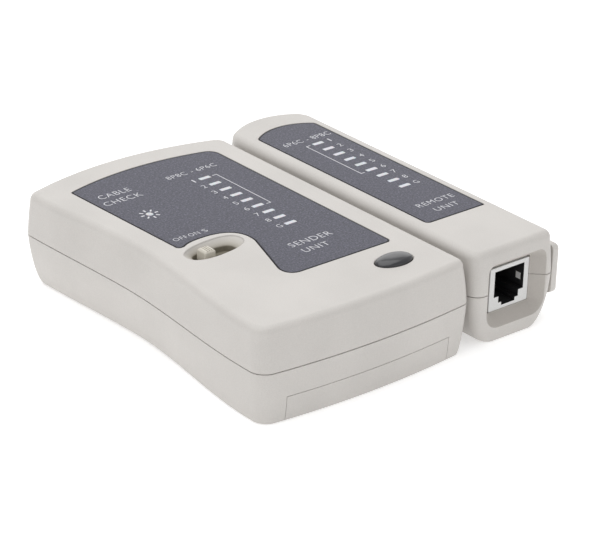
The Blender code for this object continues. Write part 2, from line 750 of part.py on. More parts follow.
def make_jack(name, jack, x, face_y, facing):
    """A modular jack: its housing with a stepped plug opening, and its comb of spring contacts."""
    y_low, y_high = jack_front(facing, face_y)
    housing = make_part(name, box(
        (x - jack.width / 2, y_low, JACK_BOTTOM), (x + jack.width / 2, y_high, JACK_TOP)), JACK_SHELL)
    steps = []
    top = PLUG_TOP
    for share, bottom in PLUG_STEPS:
        half = share * jack.opening / 2
        steps += [(half, top), (half, bottom)]
        top = bottom
    section = [(x + dx, z) for dx, z in steps] + [(x - dx, z) for dx, z in reversed(steps)]
    inner = face_y - facing * PLUG_DEPTH
    outer = face_y + facing * 1.0
    cut(housing, extrude_y(section, min(inner, outer), max(inner, outer)))
    make_contacts(name + "_contacts", jack, x, face_y, facing, inner)


def make_contacts(name, jack, x, face_y, facing, inner):
    """A bar at the back of the opening, and one sloping finger for each contact."""
    reach = (jack.pins - 1) / 2 * CONTACT_PITCH + 0.5
    back_y = inner + facing * GAP
    bar_y = sorted((back_y, back_y + facing * CONTACT_BAR_DEPTH))
    comb = make_part(name, box(
        (x - reach, bar_y[0], CONTACT_BAR_Z[0]), (x + reach, bar_y[1], CONTACT_BAR_Z[1])), GOLD)
    half_width, half_height = (size / 2 for size in CONTACT_SECTION)
    tip_depth, tip_z = CONTACT_TIP
    ends = [
        (back_y + facing * CONTACT_BAR_DEPTH / 2, CONTACT_BAR_Z[0] + 0.4),
        (face_y - facing * tip_depth, tip_z)]
    fingers = bmesh.new()
    for k in range(jack.pins):
        middle = x + (k - (jack.pins - 1) / 2) * CONTACT_PITCH
        low, high = ([
            fingers.verts.new((middle + side * half_width, y, z + level * half_height))
            for side, level in ((-1, -1), (1, -1), (1, 1), (-1, 1))
        ] for y, z in ends)
        for i in range(4):
            j = (i + 1) % 4
            fingers.faces.new((low[i], low[j], high[j], high[i]))
        fingers.faces.new(low)
        fingers.faces.new(high)
    join(comb, fingers)


def make_lamps(prefix, x):
    for k, (px, py) in enumerate(lamp_positions(x), 1):
        half = (LAMP_LENGTH / 2, LAMP_WIDTH / 2)
        levels = [
            (0.0, BOARD_TOP + GAP), (0.0, LAMP_TOP - LAMP_CHAMFER), (LAMP_CHAMFER, LAMP_TOP)]
        make_part(f"{prefix}_lamp_{k}", loft([
            at_height([
                (px - half[0] + e, py - half[1] + e), (px + half[0] - e, py - half[1] + e),
                (px + half[0] - e, py + half[1] - e), (px - half[0] + e, py + half[1] - e),
            ], z) for e, z in levels
        ]), LENS)


def make_power_lamp():
    levels = POWER_LAMP_PROFILE + [(POWER_LAMP_PROFILE[-1][0], BOARD_TOP + GAP)]
    profile = [(share * POWER_LAMP_RADIUS, z) for share, z in levels]
    make_part("power_lamp", turned(POWER_LAMP, profile, 16), LENS)


def make_chip(name, x, y, pins):
    """A dual-in-line chip under the board, with a notch at one end."""
    half = pins / 4 * CHIP_PIN_PITCH
    chip = make_part(name, around((x, y), (half, CHIP_HALF_WIDTH), *CHIP_Z), BLACK)
    cut(chip, cylinder((x - half, y), 0.9, CHIP_Z[0] - 1.0, CHIP_Z[0] + 0.6, 12))


def make_battery():
    (x, y, z), (length, width, depth) = BATTERY_LOW, BATTERY_SIZE
    section = rounded_rectangle(y, y + width, z, z + depth, BATTERY_EDGE_RADIUS)
    battery = make_part("battery", extrude_x(section, x, x + length), BATTERY_SKIN)
    end = x + length
    middle = (y + width / 2, z + depth / 2)
    for offset, radius in TERMINALS:
        terminal = cylinder((0, 0), radius, -1.0, TERMINAL_LENGTH, 12)
        turn = Matrix.Rotation(math.radians(90), 4, "Y")
        place = Matrix.Translation((end, middle[0] + offset, middle[1])) @ turn
        bmesh.ops.transform(terminal, matrix=place, verts=terminal.verts)
        join(battery, terminal)
    snap = rounded_rectangle(y + 0.6, y + width - 0.6, middle[1] - 6.3, middle[1] + 6.3, 5.5, 4)
    snap_x = end + TERMINAL_LENGTH + GAP
    make_part("battery_snap", extrude_x(snap, snap_x, snap_x + SNAP_THICKNESS), BLACK)


def make_lead(name, material, points):
    curve = bpy.data.curves.new(name, "CURVE")
    curve.dimensions = "3D"
    curve.bevel_depth = LEAD_RADIUS * MM
    curve.bevel_resolution = 2
    curve.use_fill_caps = True
    spline = curve.splines.new("POLY")
    spline.points.add(len(points) - 1)
    for spot, place in zip(spline.points, points):
        spot.co = (*(c * MM for c in place), 1.0)
    curve.materials.append(material)
    lead = bpy.data.objects.new(name, curve)
    PARTS.objects.link(lead)


def smooth_route(stops, steps=4):
    """Points on a smooth curve through the stops (Catmull-Rom)."""
    points = [Vector(p) for p in stops]
    ends = [points[0] * 2 - points[1]] + points + [points[-1] * 2 - points[-2]]
    route = []
    for a, b, c, d in zip(ends, ends[1:], ends[2:], ends[3:]):
        for k in range(steps):
            t = k / steps
            route.append(0.5 * (2 * b + (c - a) * t + (2 * a - 5 * b + 4 * c - d) * t**2
                                + (3 * b - 3 * c + d - a) * t**3))
    return [tuple(p) for p in route] + [tuple(points[-1])]


def make_leads():
    """The battery snap's two leads rise over the bay's wall to the board."""
    start_x = BATTERY_LOW[0] + BATTERY_SIZE[0] + TERMINAL_LENGTH + SNAP_THICKNESS + 2 * GAP
    for name, material, y, side in (("lead_red", RED, -41.0, 0.0), ("lead_black", BLACK, -46.0, 1.9)):
        make_lead(name, material, smooth_route([
            (start_x, y, 14.0), (start_x + 1.6 + side, y + 2.0, 15.5), (start_x + 1.4 + side, -33.0, 19.0),
            (start_x - 0.8 + side, -28.0, 20.4), (start_x - 2.8 + side, -25.0, BOARD_Z - 0.8),
        ]))


def make_screw(name, centre):
    """A self-tapping screw with its cross-recessed head at the bottom."""
    under, seat = SCREW_HEAD_Z
    screw = make_part(name, turned(centre, [
        (0.4, SCREW_TIP_Z), (SCREW_RADIUS, SCREW_TIP_Z - 1.2), (SCREW_RADIUS, seat),
        (SCREW_HEAD_RADIUS, seat), (SCREW_HEAD_RADIUS, under + 0.4), (SCREW_HEAD_RADIUS - 0.5, under),
    ], 14), STEEL)
    quarter = [
        (CROSS_HALF_WIDTH, CROSS_HALF_WIDTH), (CROSS_HALF_WIDTH, CROSS_ARM), (-CROSS_HALF_WIDTH, CROSS_ARM)]
    cross = []
    for turn in range(4):
        cross += [(centre[0] + x, centre[1] + y) for x, y in quarter]
        quarter = [(-y, x) for x, y in quarter]
    cut(screw, prism(cross, 0.0, CROSS_TOP))


# ---------------------------------------------------------------- remote unit
def remote_recesses():
    near = recess_cutter(*REMOTE_NEAR_RECESS_X, REMOTE_NEAR_Y, REMOTE_FLOOR_Y[0], 3.4)
    far = recess_cutter(*REMOTE_FAR_RECESS_X, REMOTE_FAR_Y, REMOTE_FLOOR_Y[1], 2.2)
    return near, far


def remote_pockets():
    return [
        jack_pocket(JACK_8P, REMOTE_MIDDLE_X, REMOTE_NEAR_Y, REMOTE_NEAR_Y + 12.0),
        jack_pocket(JACK_6P, REMOTE_MIDDLE_X, REMOTE_FAR_Y - 12.0, REMOTE_FAR_Y),
    ]


def span_box(x_span, y_span, z_span, grow=0.0):
    """A box over three spans, grown in y and z."""
    return box(
        (x_span[0], y_span[0] - grow, z_span[0] - grow), (x_span[1], y_span[1] + grow, z_span[1] + grow))


def clip_slot():
    """The opening in the remote's outer wall that the hook's neck passes through."""
    return span_box((RAIL_NECK_X[0] - GAP, RAIL_NECK_X[1]), RAIL_NECK_Y, RAIL_NECK_Z, GAP)


def make_remote_top_shell():
    shell = make_part("remote_top_shell", top_shell_solid(REMOTE), SHELL)
    cut(shell, trimmed_hollow(top_cavity(REMOTE), *REMOTE_HOLLOW_Y))
    join(shell, cylinders(REMOTE_SCREWS, SCREW_BOSS_RADIUS, PARTING_Z + GAP, SCREW_BOSS_TOP))
    cut(shell, cylinders(REMOTE_SCREWS, SCREW_RADIUS + GAP, PARTING_Z - 1.0, SCREW_HOLE_TOP))
    cut(shell, prism(inset(remote_label_outline(), -GAP), HEIGHT - POCKET_DEPTH, HEIGHT + 1.0))
    cut(shell, lamp_windows(REMOTE_LAMP_X))
    cut(shell, *remote_recesses(), *remote_pockets(), clip_slot())


def make_remote_bottom_shell():
    shell = make_part("remote_bottom_shell", base_shell_solid(REMOTE), SHELL)
    join(shell, trimmed_hollow(base_lip(REMOTE), *REMOTE_LIP_Y))
    cut(shell, trimmed_hollow(base_cavity(REMOTE), *REMOTE_HOLLOW_Y))
    join(shell, cylinders(REMOTE_SCREWS, SCREW_POST_RADIUS, 1.0, PARTING_Z - GAP, 20))
    cut(shell, *screw_holes(REMOTE_SCREWS))
    cut(shell, *remote_recesses(), *remote_pockets(), clip_slot())


def make_side_clip():
    """Hook plate on the remote's outer side, held by a neck and an inner foot in the shells."""
    plate = rounded_rectangle(*RAIL_Y, *RAIL_Z, 1.5)
    clip = make_part("remote_side_clip", extrude_x(plate, *RAIL_PLATE_X), SHELL)
    join(clip, span_box(RAIL_NECK_X, RAIL_NECK_Y, RAIL_NECK_Z))
    join(clip, span_box(RAIL_FOOT_X, RAIL_FOOT_Y, RAIL_FOOT_Z))


# ---------------------------------------------------------------- the whole object
clear_scene()
PARTS = new_collection("network_cable_tester")
CUTTERS = new_collection("cutters")

SHELL = new_material("shell_plastic", SHELL_COLOUR, 0.45)
LABEL = new_material("label_film", LABEL_COLOUR, 0.4)
BLACK = new_material("black_plastic", (0.02, 0.02, 0.025), 0.25)
LENS = new_material("lamp_lens", (0.85, 0.86, 0.84), 0.3)
BOARD = new_material("circuit_board", (0.04, 0.22, 0.08), 0.5)
JACK_SHELL = new_material("jack_plastic", (0.78, 0.77, 0.74), 0.4)
GOLD = new_material("contact_gold", (0.83, 0.64, 0.30), 0.3, 1.0)
STEEL = new_material("plated_steel", (0.60, 0.60, 0.60), 0.35, 1.0)
BATTERY_SKIN = new_material("battery_jacket", (0.10, 0.12, 0.15), 0.35)
RED = new_material("red_insulation", (0.55, 0.03, 0.03), 0.4)

make_main_top_shell()
make_main_bottom_shell()
make_battery_door()
make_labels()
make_slide_switch()
make_push_button()
main_board = make_board("main_circuit_board", MAIN_BOARD, MAIN_SCREWS)
cut(main_board, around(DISH, SWITCH_WINDOW_HALF, BOARD_Z - 1.0, BOARD_TOP + 1.0))
for name, (jack, x) in MAIN_JACKS.items():
    make_jack(name, jack, x, MAIN_FLOOR_Y + GAP, 1)
make_lamps("main", MAIN_LAMP_X)
make_power_lamp()
for name, (x, y, pins) in CHIPS.items():
    make_chip(name, x, y, pins)
make_battery()
make_leads()
for number, place in enumerate(MAIN_SCREWS, 1):
    make_screw(f"main_screw_{number}", place)

make_remote_top_shell()
make_remote_bottom_shell()
make_side_clip()
make_board("remote_circuit_board", REMOTE_BOARD, REMOTE_SCREWS)
make_jack("remote_jack_8p", JACK_8P, REMOTE_MIDDLE_X, REMOTE_FLOOR_Y[0] - GAP, -1)
make_jack("remote_jack_6p", JACK_6P, REMOTE_MIDDLE_X, REMOTE_FLOOR_Y[1] + GAP, 1)
make_lamps("remote", REMOTE_LAMP_X)
for number, place in enumerate(REMOTE_SCREWS, 1):
    make_screw(f"remote_screw_{number}", place)
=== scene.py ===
"""Looks of a network cable tester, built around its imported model.

Frame: +X from the main unit to the remote unit, +Y to the arched far ends, +Z up. Shapes are
worked out in millimetres and turned into metres when a piece is made.
"""

import math
from collections import namedtuple

import bmesh
import bpy
from mathutils import Matrix, Vector


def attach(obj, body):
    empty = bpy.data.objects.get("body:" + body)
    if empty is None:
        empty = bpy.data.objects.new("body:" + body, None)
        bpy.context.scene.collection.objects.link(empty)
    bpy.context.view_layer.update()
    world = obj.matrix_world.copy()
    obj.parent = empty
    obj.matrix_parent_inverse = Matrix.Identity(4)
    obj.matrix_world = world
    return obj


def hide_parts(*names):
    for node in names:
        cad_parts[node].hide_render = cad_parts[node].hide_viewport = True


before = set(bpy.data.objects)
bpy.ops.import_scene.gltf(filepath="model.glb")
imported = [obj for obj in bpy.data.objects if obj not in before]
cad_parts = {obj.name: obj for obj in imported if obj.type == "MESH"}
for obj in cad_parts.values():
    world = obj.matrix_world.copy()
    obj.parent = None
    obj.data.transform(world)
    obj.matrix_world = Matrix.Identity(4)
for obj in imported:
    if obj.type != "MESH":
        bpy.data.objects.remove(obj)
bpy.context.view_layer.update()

MM = 0.001

# ------------------------ dimensions
LENGTH = 125.0
HEIGHT = 30.0
PARTING_Z = 16.5
SEAM = 0.17
WALL = 2.2
EDGE_RADIUS = 2.4
NEAR_Y = -LENGTH / 2
FAR_Y = LENGTH / 2
WAIST_Y = 8.0
SWELL_Y = 54.0

Plan = namedtuple("Plan", "right far_left waist near_left far near corner soft_corner")
Housing = namedtuple("Housing", "parting top base middle_x far_radius near_radius bulge hollow_y")
MAIN = Housing(
    Plan(21.0, -55.2, -54.1, -58.8, FAR_Y, NEAR_Y, 2.9, 4.5),
    Plan(20.1, -54.8, -51.7, -58.4, FAR_Y - 0.9, NEAR_Y + 1.5, 2.9, 4.5),
    Plan(18.9, -50.9, -49.4, -56.6, FAR_Y - 4.0, NEAR_Y + 1.3, 2.8, 4.0),
    -18.5, 115.0, 300.0, 0.35, (None, FAR_Y - 9.0),
)
REMOTE_NEAR_Y = -60.0
REMOTE_FAR_Y = 61.5
REMOTE_X = 39.65
REMOTE = Housing(
    Plan(55.6, 22.8, 22.8, 22.8, REMOTE_FAR_Y, REMOTE_NEAR_Y, 2.9, 4.0),
    Plan(55.2, 23.2, 23.2, 23.2, REMOTE_FAR_Y - 0.9, REMOTE_NEAR_Y + 0.9, 2.9, 4.0),
    Plan(48.2, 30.0, 30.0, 30.0, REMOTE_FAR_Y - 7.0, REMOTE_NEAR_Y + 1.0, 2.6, 2.6),
    REMOTE_X, 24.0, 2000.0, 0.1, (REMOTE_NEAR_Y + 6.0, REMOTE_FAR_Y - 9.0),
)

LABEL_TOP = HEIGHT - 0.04
LABEL_POCKET_Z = HEIGHT - 0.5
MAIN_LABEL = {"right": 11.0, "left": -43.9, "near": -35.5, "far": 51.7, "arc": 100.0}
LABEL_NOTCH = ((-32.3, -9.1), (11.6, 8.4))  # centre and radii
LABEL_GAP = 0.22
REMOTE_LABEL = {"right": 51.2, "left": 27.9, "near": -32.8, "far": 50.2, "arc": 18.3}

LAMP_COUNT = 9
LAMP_PITCH = 5.08
LAMP_SIZE = (4.1, 1.5)
FIRST_LAMP_Y = 32.7
MAIN_LAMP_X = -4.5
REMOTE_LAMP_X = 41.3
POWER_LAMP = (-34.5, 21.5)

SWITCH = (-33.7, -8.8)
SWITCH_STEP = 3.5
SWITCH_SLOT = (SWITCH_STEP + 3.1, 1.6)  # half its length and width
DISH = (-33.7, -8.1)
DISH_RADII = (10.8, 4.8)
DISH_TILT = 6.0
DISH_RIM = 0.4
DISH_DEPTH = 3.6
DISH_BLOCK_Z = (25.4, 28.6)
WELL_RADII = (7.5, 3.4)
WELL_TOP = 28.1
WELL_POWER = 0.6
OVAL_POWER = 0.83  # 1 is an ellipse, less is fuller at the corners

BUTTON = (2.6, -46.0)
BUTTON_RADII = (6.5, 3.9)
BUTTON_FLANGE = 0.8

Jack = namedtuple("Jack", "width opening pins")
JACK_8P = Jack(15.9, 12.0, 8)
JACK_6P = Jack(13.2, 9.9, 6)
JACK_BOTTOM = 8.6
JACK_TOP = 22.6
JACK_DEPTH = 18.0
PLUG_DEPTH = 13.0
PLUG_TOP = 21.3
PLUG_STEPS = ((1.0, 12.9), (0.68, 10.8), (0.46, 9.7))  # share of the opening, lowest z
CONTACT_PITCH = 1.02
RECESS_Z = (4.5, 25.8)
Recess = namedtuple("Recess", "x_low x_high mouth_y floor_y margin radii")
MAIN_RECESS = Recess(-44.5, 4.2, FAR_Y, FAR_Y - 5.5, 2.6, (3.4, 3.0))
REMOTE_NEAR_RECESS = Recess(
    28.2, 52.0, REMOTE_NEAR_Y, REMOTE_NEAR_Y + 3.5, 3.4, (5.2, 2.6))
REMOTE_FAR_RECESS = Recess(30.2, 49.1, REMOTE_FAR_Y, REMOTE_FAR_Y - 6.0, 2.2, (4.0, 2.6))

DOOR_X = (-49.3, 12.4)
DOOR_BACK_Y = -30.2
DOOR_Z = 7.9
DOOR_GAP = 0.08
DOOR_GRIPS_Y = (-50.0, -46.5, -43.0, -39.5)
BATTERY_WALL = ((-44.0, -29.6, 1.0), (6.0, -28.2, PARTING_Z + 1.0))

MAIN_SCREWS = [(-45.5, 44.0), (12.5, 44.0), (-45.5, -22.0), (12.5, -22.0)]
REMOTE_SCREWS = [(33.2, -28.0), (33.2, 27.0)]
COVER_POST_RADIUS = 3.2
COVER_POST_TOP = 28.6
BASE_POST_RADIUS = 4.4

HOOK_Y = (-58.0, -24.0)
HOOK_Z = (8.0, 24.0)
HOOK_X = (56.4, 58.8)
HOOK_NECK = ((52.0, -56.5, 11.0), (57.3, -29.0, 21.0))
HOOK_HOLE = ((51.8, -56.8, 10.7), (57.0, -28.7, 21.3))
HOOK_FOOT = ((50.9, -52.5, 9.8), (52.4, -27.5, 22.0))


# ------------------------ meshes
def mix(a, b, part):
    return a + (b - a) * part


def smooth_step(value):
    value = min(max(value, 0.0), 1.0)
    return value * value * (3.0 - 2.0 * value)


def at_height(outline, z):
    return [(x, y, z) for x, y in outline]


def at_length(outline, y):
    return [(x, y, z) for x, z in outline]


def loft(outlines):
    """Skin a stack of outlines of one point count, and cap both ends."""
    solid = bmesh.new()
    rings = [[solid.verts.new(point) for point in outline] for outline in outlines]
    count = len(rings[0])
    for low, high in zip(rings, rings[1:]):
        for i in range(count):
            j = (i + 1) % count
            solid.faces.new((low[i], low[j], high[j], high[i]))
    solid.faces.new(list(reversed(rings[0])))
    solid.faces.new(rings[-1])
    bmesh.ops.recalc_face_normals(solid, faces=solid.faces)
    return solid


def prism(outline, z_low, z_high):
    return loft([at_height(outline, z_low), at_height(outline, z_high)])


def box(low, high):
    outline = [(low[0], low[1]), (high[0], low[1]), (high[0], high[1]), (low[0], high[1])]
    return prism(outline, low[2], high[2])


def merged(solids):
    """Several solids that stand apart, as one mesh."""
    whole = bmesh.new()
    for solid in solids:
        mesh = bpy.data.meshes.new("part")
        solid.to_mesh(mesh)
        solid.free()
        whole.from_mesh(mesh)
        bpy.data.meshes.remove(mesh)
    return whole


def turned(centre, profile, sides=32):
    """A solid of revolution about a vertical axis; profile is (radius, z)."""
    return loft([at_height(ellipse(centre, (r, r), sides), z) for r, z in profile])


def to_object(name, solid):
    bmesh.ops.recalc_face_normals(solid, faces=solid.faces)
    bmesh.ops.scale(solid, vec=(MM, MM, MM), verts=solid.verts)
    mesh = bpy.data.meshes.new(name)
    solid.to_mesh(mesh)
    solid.free()
    item = bpy.data.objects.new(name, mesh)
    bpy.context.scene.collection.objects.link(item)
    return item


def carve(item, steps):
    """Apply Boolean steps, each (operation, solid), to an object's mesh."""
    tools = []
    for operation, solid in steps:
        tool = to_object("tool", solid)
        modifier = item.modifiers.new("carve", "BOOLEAN")
        modifier.operation = operation
        modifier.object = tool
        modifier.solver = "EXACT"
        tools.append(tool)
    graph = bpy.context.evaluated_depsgraph_get()
    result = bpy.data.meshes.new_from_object(item.evaluated_get(graph))
    item.modifiers.clear()
    old = item.data
    item.data = result
    bpy.data.meshes.remove(old)
    for tool in tools:
        bpy.data.objects.remove(tool)


def finish_piece(item, body, materials, nodes, smooth_degrees=32.0):
    """Shade a piece, give it its materials, and let it stand for CAD nodes on a body."""
    for material in materials:
        item.data.materials.append(material)
    item.data.shade_smooth()
    item.data.set_sharp_from_angle(angle=math.radians(smooth_degrees))
    normals = item.modifiers.new("normals", "WEIGHTED_NORMAL")
    normals.keep_sharp = True
    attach(item, body)
    if nodes:
        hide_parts(*nodes)


# ------------------------ outlines
def spread(start, end, steps):
    return [mix(start, end, k / steps) for k in range(1, steps)]


def rounded_corner(start, corner, end, steps):
    """A round corner: a conic from start to end, pulled towards corner."""
    weight = math.sqrt(0.5)
    points = []
    for k in range(steps + 1):
        t = k / steps
        parts = ((1 - t) ** 2, 2 * weight * t * (1 - t), t * t)
        total = sum(parts)
        points.append(tuple(
            sum(part * place[axis] for part, place in zip(parts, (start, corner, end))) / total
            for axis in (0, 1)
        ))
    return points


def housing_outline(plan, housing, fine):
    """Anticlockwise plan outline; fine is the number of times finer than the coarse outline."""
    def left(y):
        if y > WAIST_Y:
            return mix(plan.waist, plan.far_left, smooth_step((y - WAIST_Y) / (SWELL_Y - WAIST_Y)))
        return mix(plan.waist, plan.near_left, smooth_step((WAIST_Y - y) / (WAIST_Y + SWELL_Y)))

    def arch(radius, x):
        return radius - math.sqrt(radius**2 - (x - housing.middle_x) ** 2)

    def far(x):
        return plan.far - arch(housing.far_radius, x)

    def near(x):
        return plan.near + arch(housing.near_radius, x)

    r = plan.corner
    near_left = (plan.near_left, near(plan.near_left))
    near_right = (plan.right, near(plan.right))
    far_right = (plan.right, far(plan.right))
    far_left = (plan.far_left, far(plan.far_left))
    corner_steps = 3 * fine
    soft = plan.soft_corner
    x_low, x_high = near_left[0] + soft, near_right[0] - r
    points = [(x, near(x)) for x in spread(x_low, x_high, 8 * fine)]
    points += rounded_corner(
        (x_high, near(x_high)), near_right, (plan.right, near_right[1] + r), corner_steps)
    points += [(plan.right, y) for y in spread(near_right[1] + r, far_right[1] - r, 4)]
    x_high, x_low = far_right[0] - r, far_left[0] + r
    points += rounded_corner(
        (plan.right, far_right[1] - r), far_right, (x_high, far(x_high)), corner_steps)
    points += [(x, far(x)) for x in spread(x_high, x_low, 10 * fine)]
    y_high, y_low = far_left[1] - r, near_left[1] + soft
    points += rounded_corner(
        (x_low, far(x_low)), far_left, (left(y_high), y_high), corner_steps)
    points += [(left(y), y) for y in spread(y_high, y_low, 12 * fine)]
    x_low = near_left[0] + soft
    points += rounded_corner((left(y_low), y_low), near_left, (x_low, near(x_low)), corner_steps)
    return points


def inset(outline, distance):
    """Move an anticlockwise outline inwards by a distance."""
    moved = []
    count = len(outline)
    for i, point in enumerate(outline):
        here = Vector(point)
        first = (here - Vector(outline[i - 1])).normalized()
        second = (Vector(outline[(i + 1) % count]) - here).normalized()
        inward = Vector((-(first.y + second.y), first.x + second.x)).normalized()
        stretch = max(0.4, inward.dot(Vector((-first.y, first.x))))
        moved.append(tuple(here + inward * (distance / stretch)))
    return moved


def ellipse(centre, radii, sides=64):
    turns = [2 * math.pi * k / sides for k in range(sides)]
    return [(centre[0] + radii[0] * math.cos(t), centre[1] + radii[1] * math.sin(t)) for t in turns]


def oval(centre, radii, degrees=range(0, 360, 5), power=OVAL_POWER, tilt=0.0):
    """An ellipse with fuller corners, or the part of it at the given angles."""
    points = []
    turn = Matrix.Rotation(math.radians(tilt), 2)
    for angle in degrees:
        across, along = math.cos(math.radians(angle)), math.sin(math.radians(angle))
        place = turn @ Vector((
            radii[0] * math.copysign(abs(across) ** power, across),
            radii[1] * math.copysign(abs(along) ** power, along)))
        points.append((centre[0] + place.x, centre[1] + place.y))
    return points


def rounded_rectangle(x_low, x_high, y_low, y_high, radii, steps=6):
    """radii is one number, or the radii of the low corners and the high corners."""
    low, high = radii if isinstance(radii, tuple) else (radii, radii)
    corners = [
        ((x_high - low, y_low), (x_high, y_low), (x_high, y_low + low)),
        ((x_high, y_high - high), (x_high, y_high), (x_high - high, y_high)),
        ((x_low + high, y_high), (x_low, y_high), (x_low, y_high - high)),
        ((x_low, y_low + low), (x_low, y_low), (x_low + low, y_low)),
    ]
    points = []
    for corner in corners:
        points += rounded_corner(*corner, steps)
    return points


def section(housing, z, distance=0.0, fine=4):
    """Outline of a housing's outside at height z, moved inwards by distance."""
    shoulder = HEIGHT - EDGE_RADIUS
    extra = 0.0
    if z >= PARTING_Z:
        t = min(1.0, (z - PARTING_Z) / (shoulder - PARTING_Z))
        part = 0.5 * t + 0.5 * t * t
        ends = (housing.parting, housing.top)
        if z > shoulder:
            rise = min(1.0, (z - shoulder) / EDGE_RADIUS)
            extra = EDGE_RADIUS * (1.0 - math.sqrt(1.0 - rise * rise))
    else:
        t = min(1.0, (PARTING_Z - z) / PARTING_Z)
        part = mix(1.0 - math.sqrt(1.0 - t * t), t, housing.bulge)
        ends = (housing.parting, housing.base)
    plan = Plan(*(mix(p, q, part) for p, q in zip(*ends)))
    outline = housing_outline(plan, housing, fine)
    return at_height(inset(outline, distance + extra), z)


def flat(outline):
    return [point[:2] for point in outline]


SEAM_EDGE = [(0.0, 0.26), (0.05, 0.10), (0.14, 0.02), (0.26, 0.0)]  # height from the seam, inset


def upper_solid(housing):
    """Upper half: a softened edge at the seam, a leaning wall and a rounded shoulder."""
    shoulder = HEIGHT - EDGE_RADIUS
    sections = [
        section(housing, PARTING_Z + SEAM / 2 + rise, distance) for rise, distance in SEAM_EDGE
    ]
    sections += [section(housing, mix(PARTING_Z, shoulder, k / 6)) for k in range(1, 7)]
    sections += [
        section(housing, shoulder + EDGE_RADIUS * math.sin(math.radians(9 * k)))
        for k in range(1, 11)
    ]
    return loft(sections)


def lower_solid(housing):
    """Lower half: rounded underside edges rising to the softened edge at the seam."""
    sections = [section(housing, 0.0, 0.5), section(housing, 0.12, 0.12)]
    sections += [
        section(housing, PARTING_Z * (1.0 - math.sin(math.radians(a))))
        for a in (82, 76, 70, 63, 56, 49, 42, 35, 28, 20, 12, 6)
    ]
    sections += [
        section(housing, PARTING_Z - SEAM / 2 - rise, distance)
        for rise, distance in reversed(SEAM_EDGE)
    ]
    return loft(sections)


def trimmed(solid, y_low, y_high):
    """Keep what lies between two planes across the length."""
    for level, side in ((y_low, -1), (y_high, 1)):
        if level is None:
            continue
        parts = solid.verts[:] + solid.edges[:] + solid.faces[:]
        result = bmesh.ops.bisect_plane(
            solid, geom=parts, plane_co=(0, level, 0), plane_no=(0, side, 0), clear_outer=True)
        edges = [part for part in result["geom_cut"] if isinstance(part, bmesh.types.BMEdge)]
        bmesh.ops.edgeloop_fill(solid, edges=edges)
    return solid


def upper_hollow(housing):
    heights = [PARTING_Z + 1.9, mix(PARTING_Z, HEIGHT, 0.6), HEIGHT - EDGE_RADIUS, HEIGHT - WALL]
    rim = [
        at_height(flat(section(housing, PARTING_Z, 1.0, 1)), PARTING_Z - 1.0),
        section(housing, PARTING_Z + 1.9, 1.0, 1),
    ]
    hollow = loft(rim + [section(housing, z, WALL, 1) for z in heights])
    return trimmed(hollow, *housing.hollow_y)


def lower_hollow(housing):
    sections = [section(housing, z, WALL, 1) for z in (WALL, 5.0, 9.0, PARTING_Z - 2.0, PARTING_Z)]
    sections.append(at_height(flat(sections[-1]), PARTING_Z + 3.0))
    return trimmed(loft(sections), *housing.hollow_y)


def lower_lip(housing):
    low, high = housing.hollow_y
    low = None if low is None else low + 0.3
    outline = flat(section(housing, PARTING_Z, 1.3, 2))
    return trimmed(prism(outline, PARTING_Z - 2.0, PARTING_Z + 1.6), low, high - 0.3)


def flared(outline, z_low, radius):
    """A cutter from z_low up through the top face, whose rim it rounds to a radius."""
    sections = [at_height(outline, z_low)]
    for degrees in (0, 22, 44, 62, 78):
        turn = math.radians(degrees)
        sections.append(at_height(
            inset(outline, -radius * (1 - math.cos(turn))), HEIGHT - radius * (1 - math.sin(turn))))
    past = inset(outline, -radius * 1.9)
    return loft(sections + [at_height(past, HEIGHT + radius * 0.25), at_height(past, HEIGHT + 2.0)])


def recess_cutter(recess):
    """A jack recess: sloped walls and a rounded mouth. It also reaches past the mouth."""
    depth = recess.mouth_y - recess.floor_y
    way = math.copysign(1.0, depth)

    def ring(y, side, low, high, radii):
        return at_length(rounded_rectangle(
            recess.x_low + side, recess.x_high - side, RECESS_Z[0] + low, RECESS_Z[1] - high,
            radii, 8), y)

    def mouth_ring(y, grow):
        return ring(y, -grow, -grow, -grow, tuple(r + grow for r in recess.radii))

    return loft([
        ring(recess.floor_y, recess.margin, 3.4, 2.4, 1.2),
        ring(recess.mouth_y - 0.26 * depth, 0.2 * recess.margin, 0.7, 0.75,
             tuple(r * 0.9 for r in recess.radii)),
        mouth_ring(recess.mouth_y - 0.10 * depth, 0.0),
        mouth_ring(recess.mouth_y, 0.35),
        mouth_ring(recess.mouth_y + way * 0.35, 1.2),
        mouth_ring(recess.mouth_y + way * 8.0, 1.2),
    ])


# ------------------------ materials
SHELL_COLOUR = (0.605, 0.580, 0.552)


def new_material(name, base, roughness, metallic=0.0, coat=0.0):
    material = bpy.data.materials.new(name)
    material.use_nodes = True
    shader = material.node_tree.nodes["Principled BSDF"]
    shader.inputs["Base Color"].default_value = (*base, 1.0)
    shader.inputs["Roughness"].default_value = roughness
    shader.inputs["Metallic"].default_value = metallic
    shader.inputs["Coat Weight"].default_value = coat
    shader.inputs["Coat Roughness"].default_value = 0.12
    return material


def add_node(material, kind, **inputs):
    node = material.node_tree.nodes.new(kind)
    for key, value in inputs.items():
        node.inputs[key.replace("_", " ")].default_value = value
    return node


def link(material, source, target):
    material.node_tree.links.new(source, target)


def shader_of(material):
    return material.node_tree.nodes["Principled BSDF"]


def place_of(material, stretch=(1.0, 1.0, 1.0)):
    """Object coordinates, in metres times a stretch for each axis."""
    coordinates = add_node(material, "ShaderNodeTexCoord")
    mapping = add_node(material, "ShaderNodeMapping", Scale=stretch)
    link(material, coordinates.outputs["Object"], mapping.inputs["Vector"])
    return mapping.outputs["Vector"]


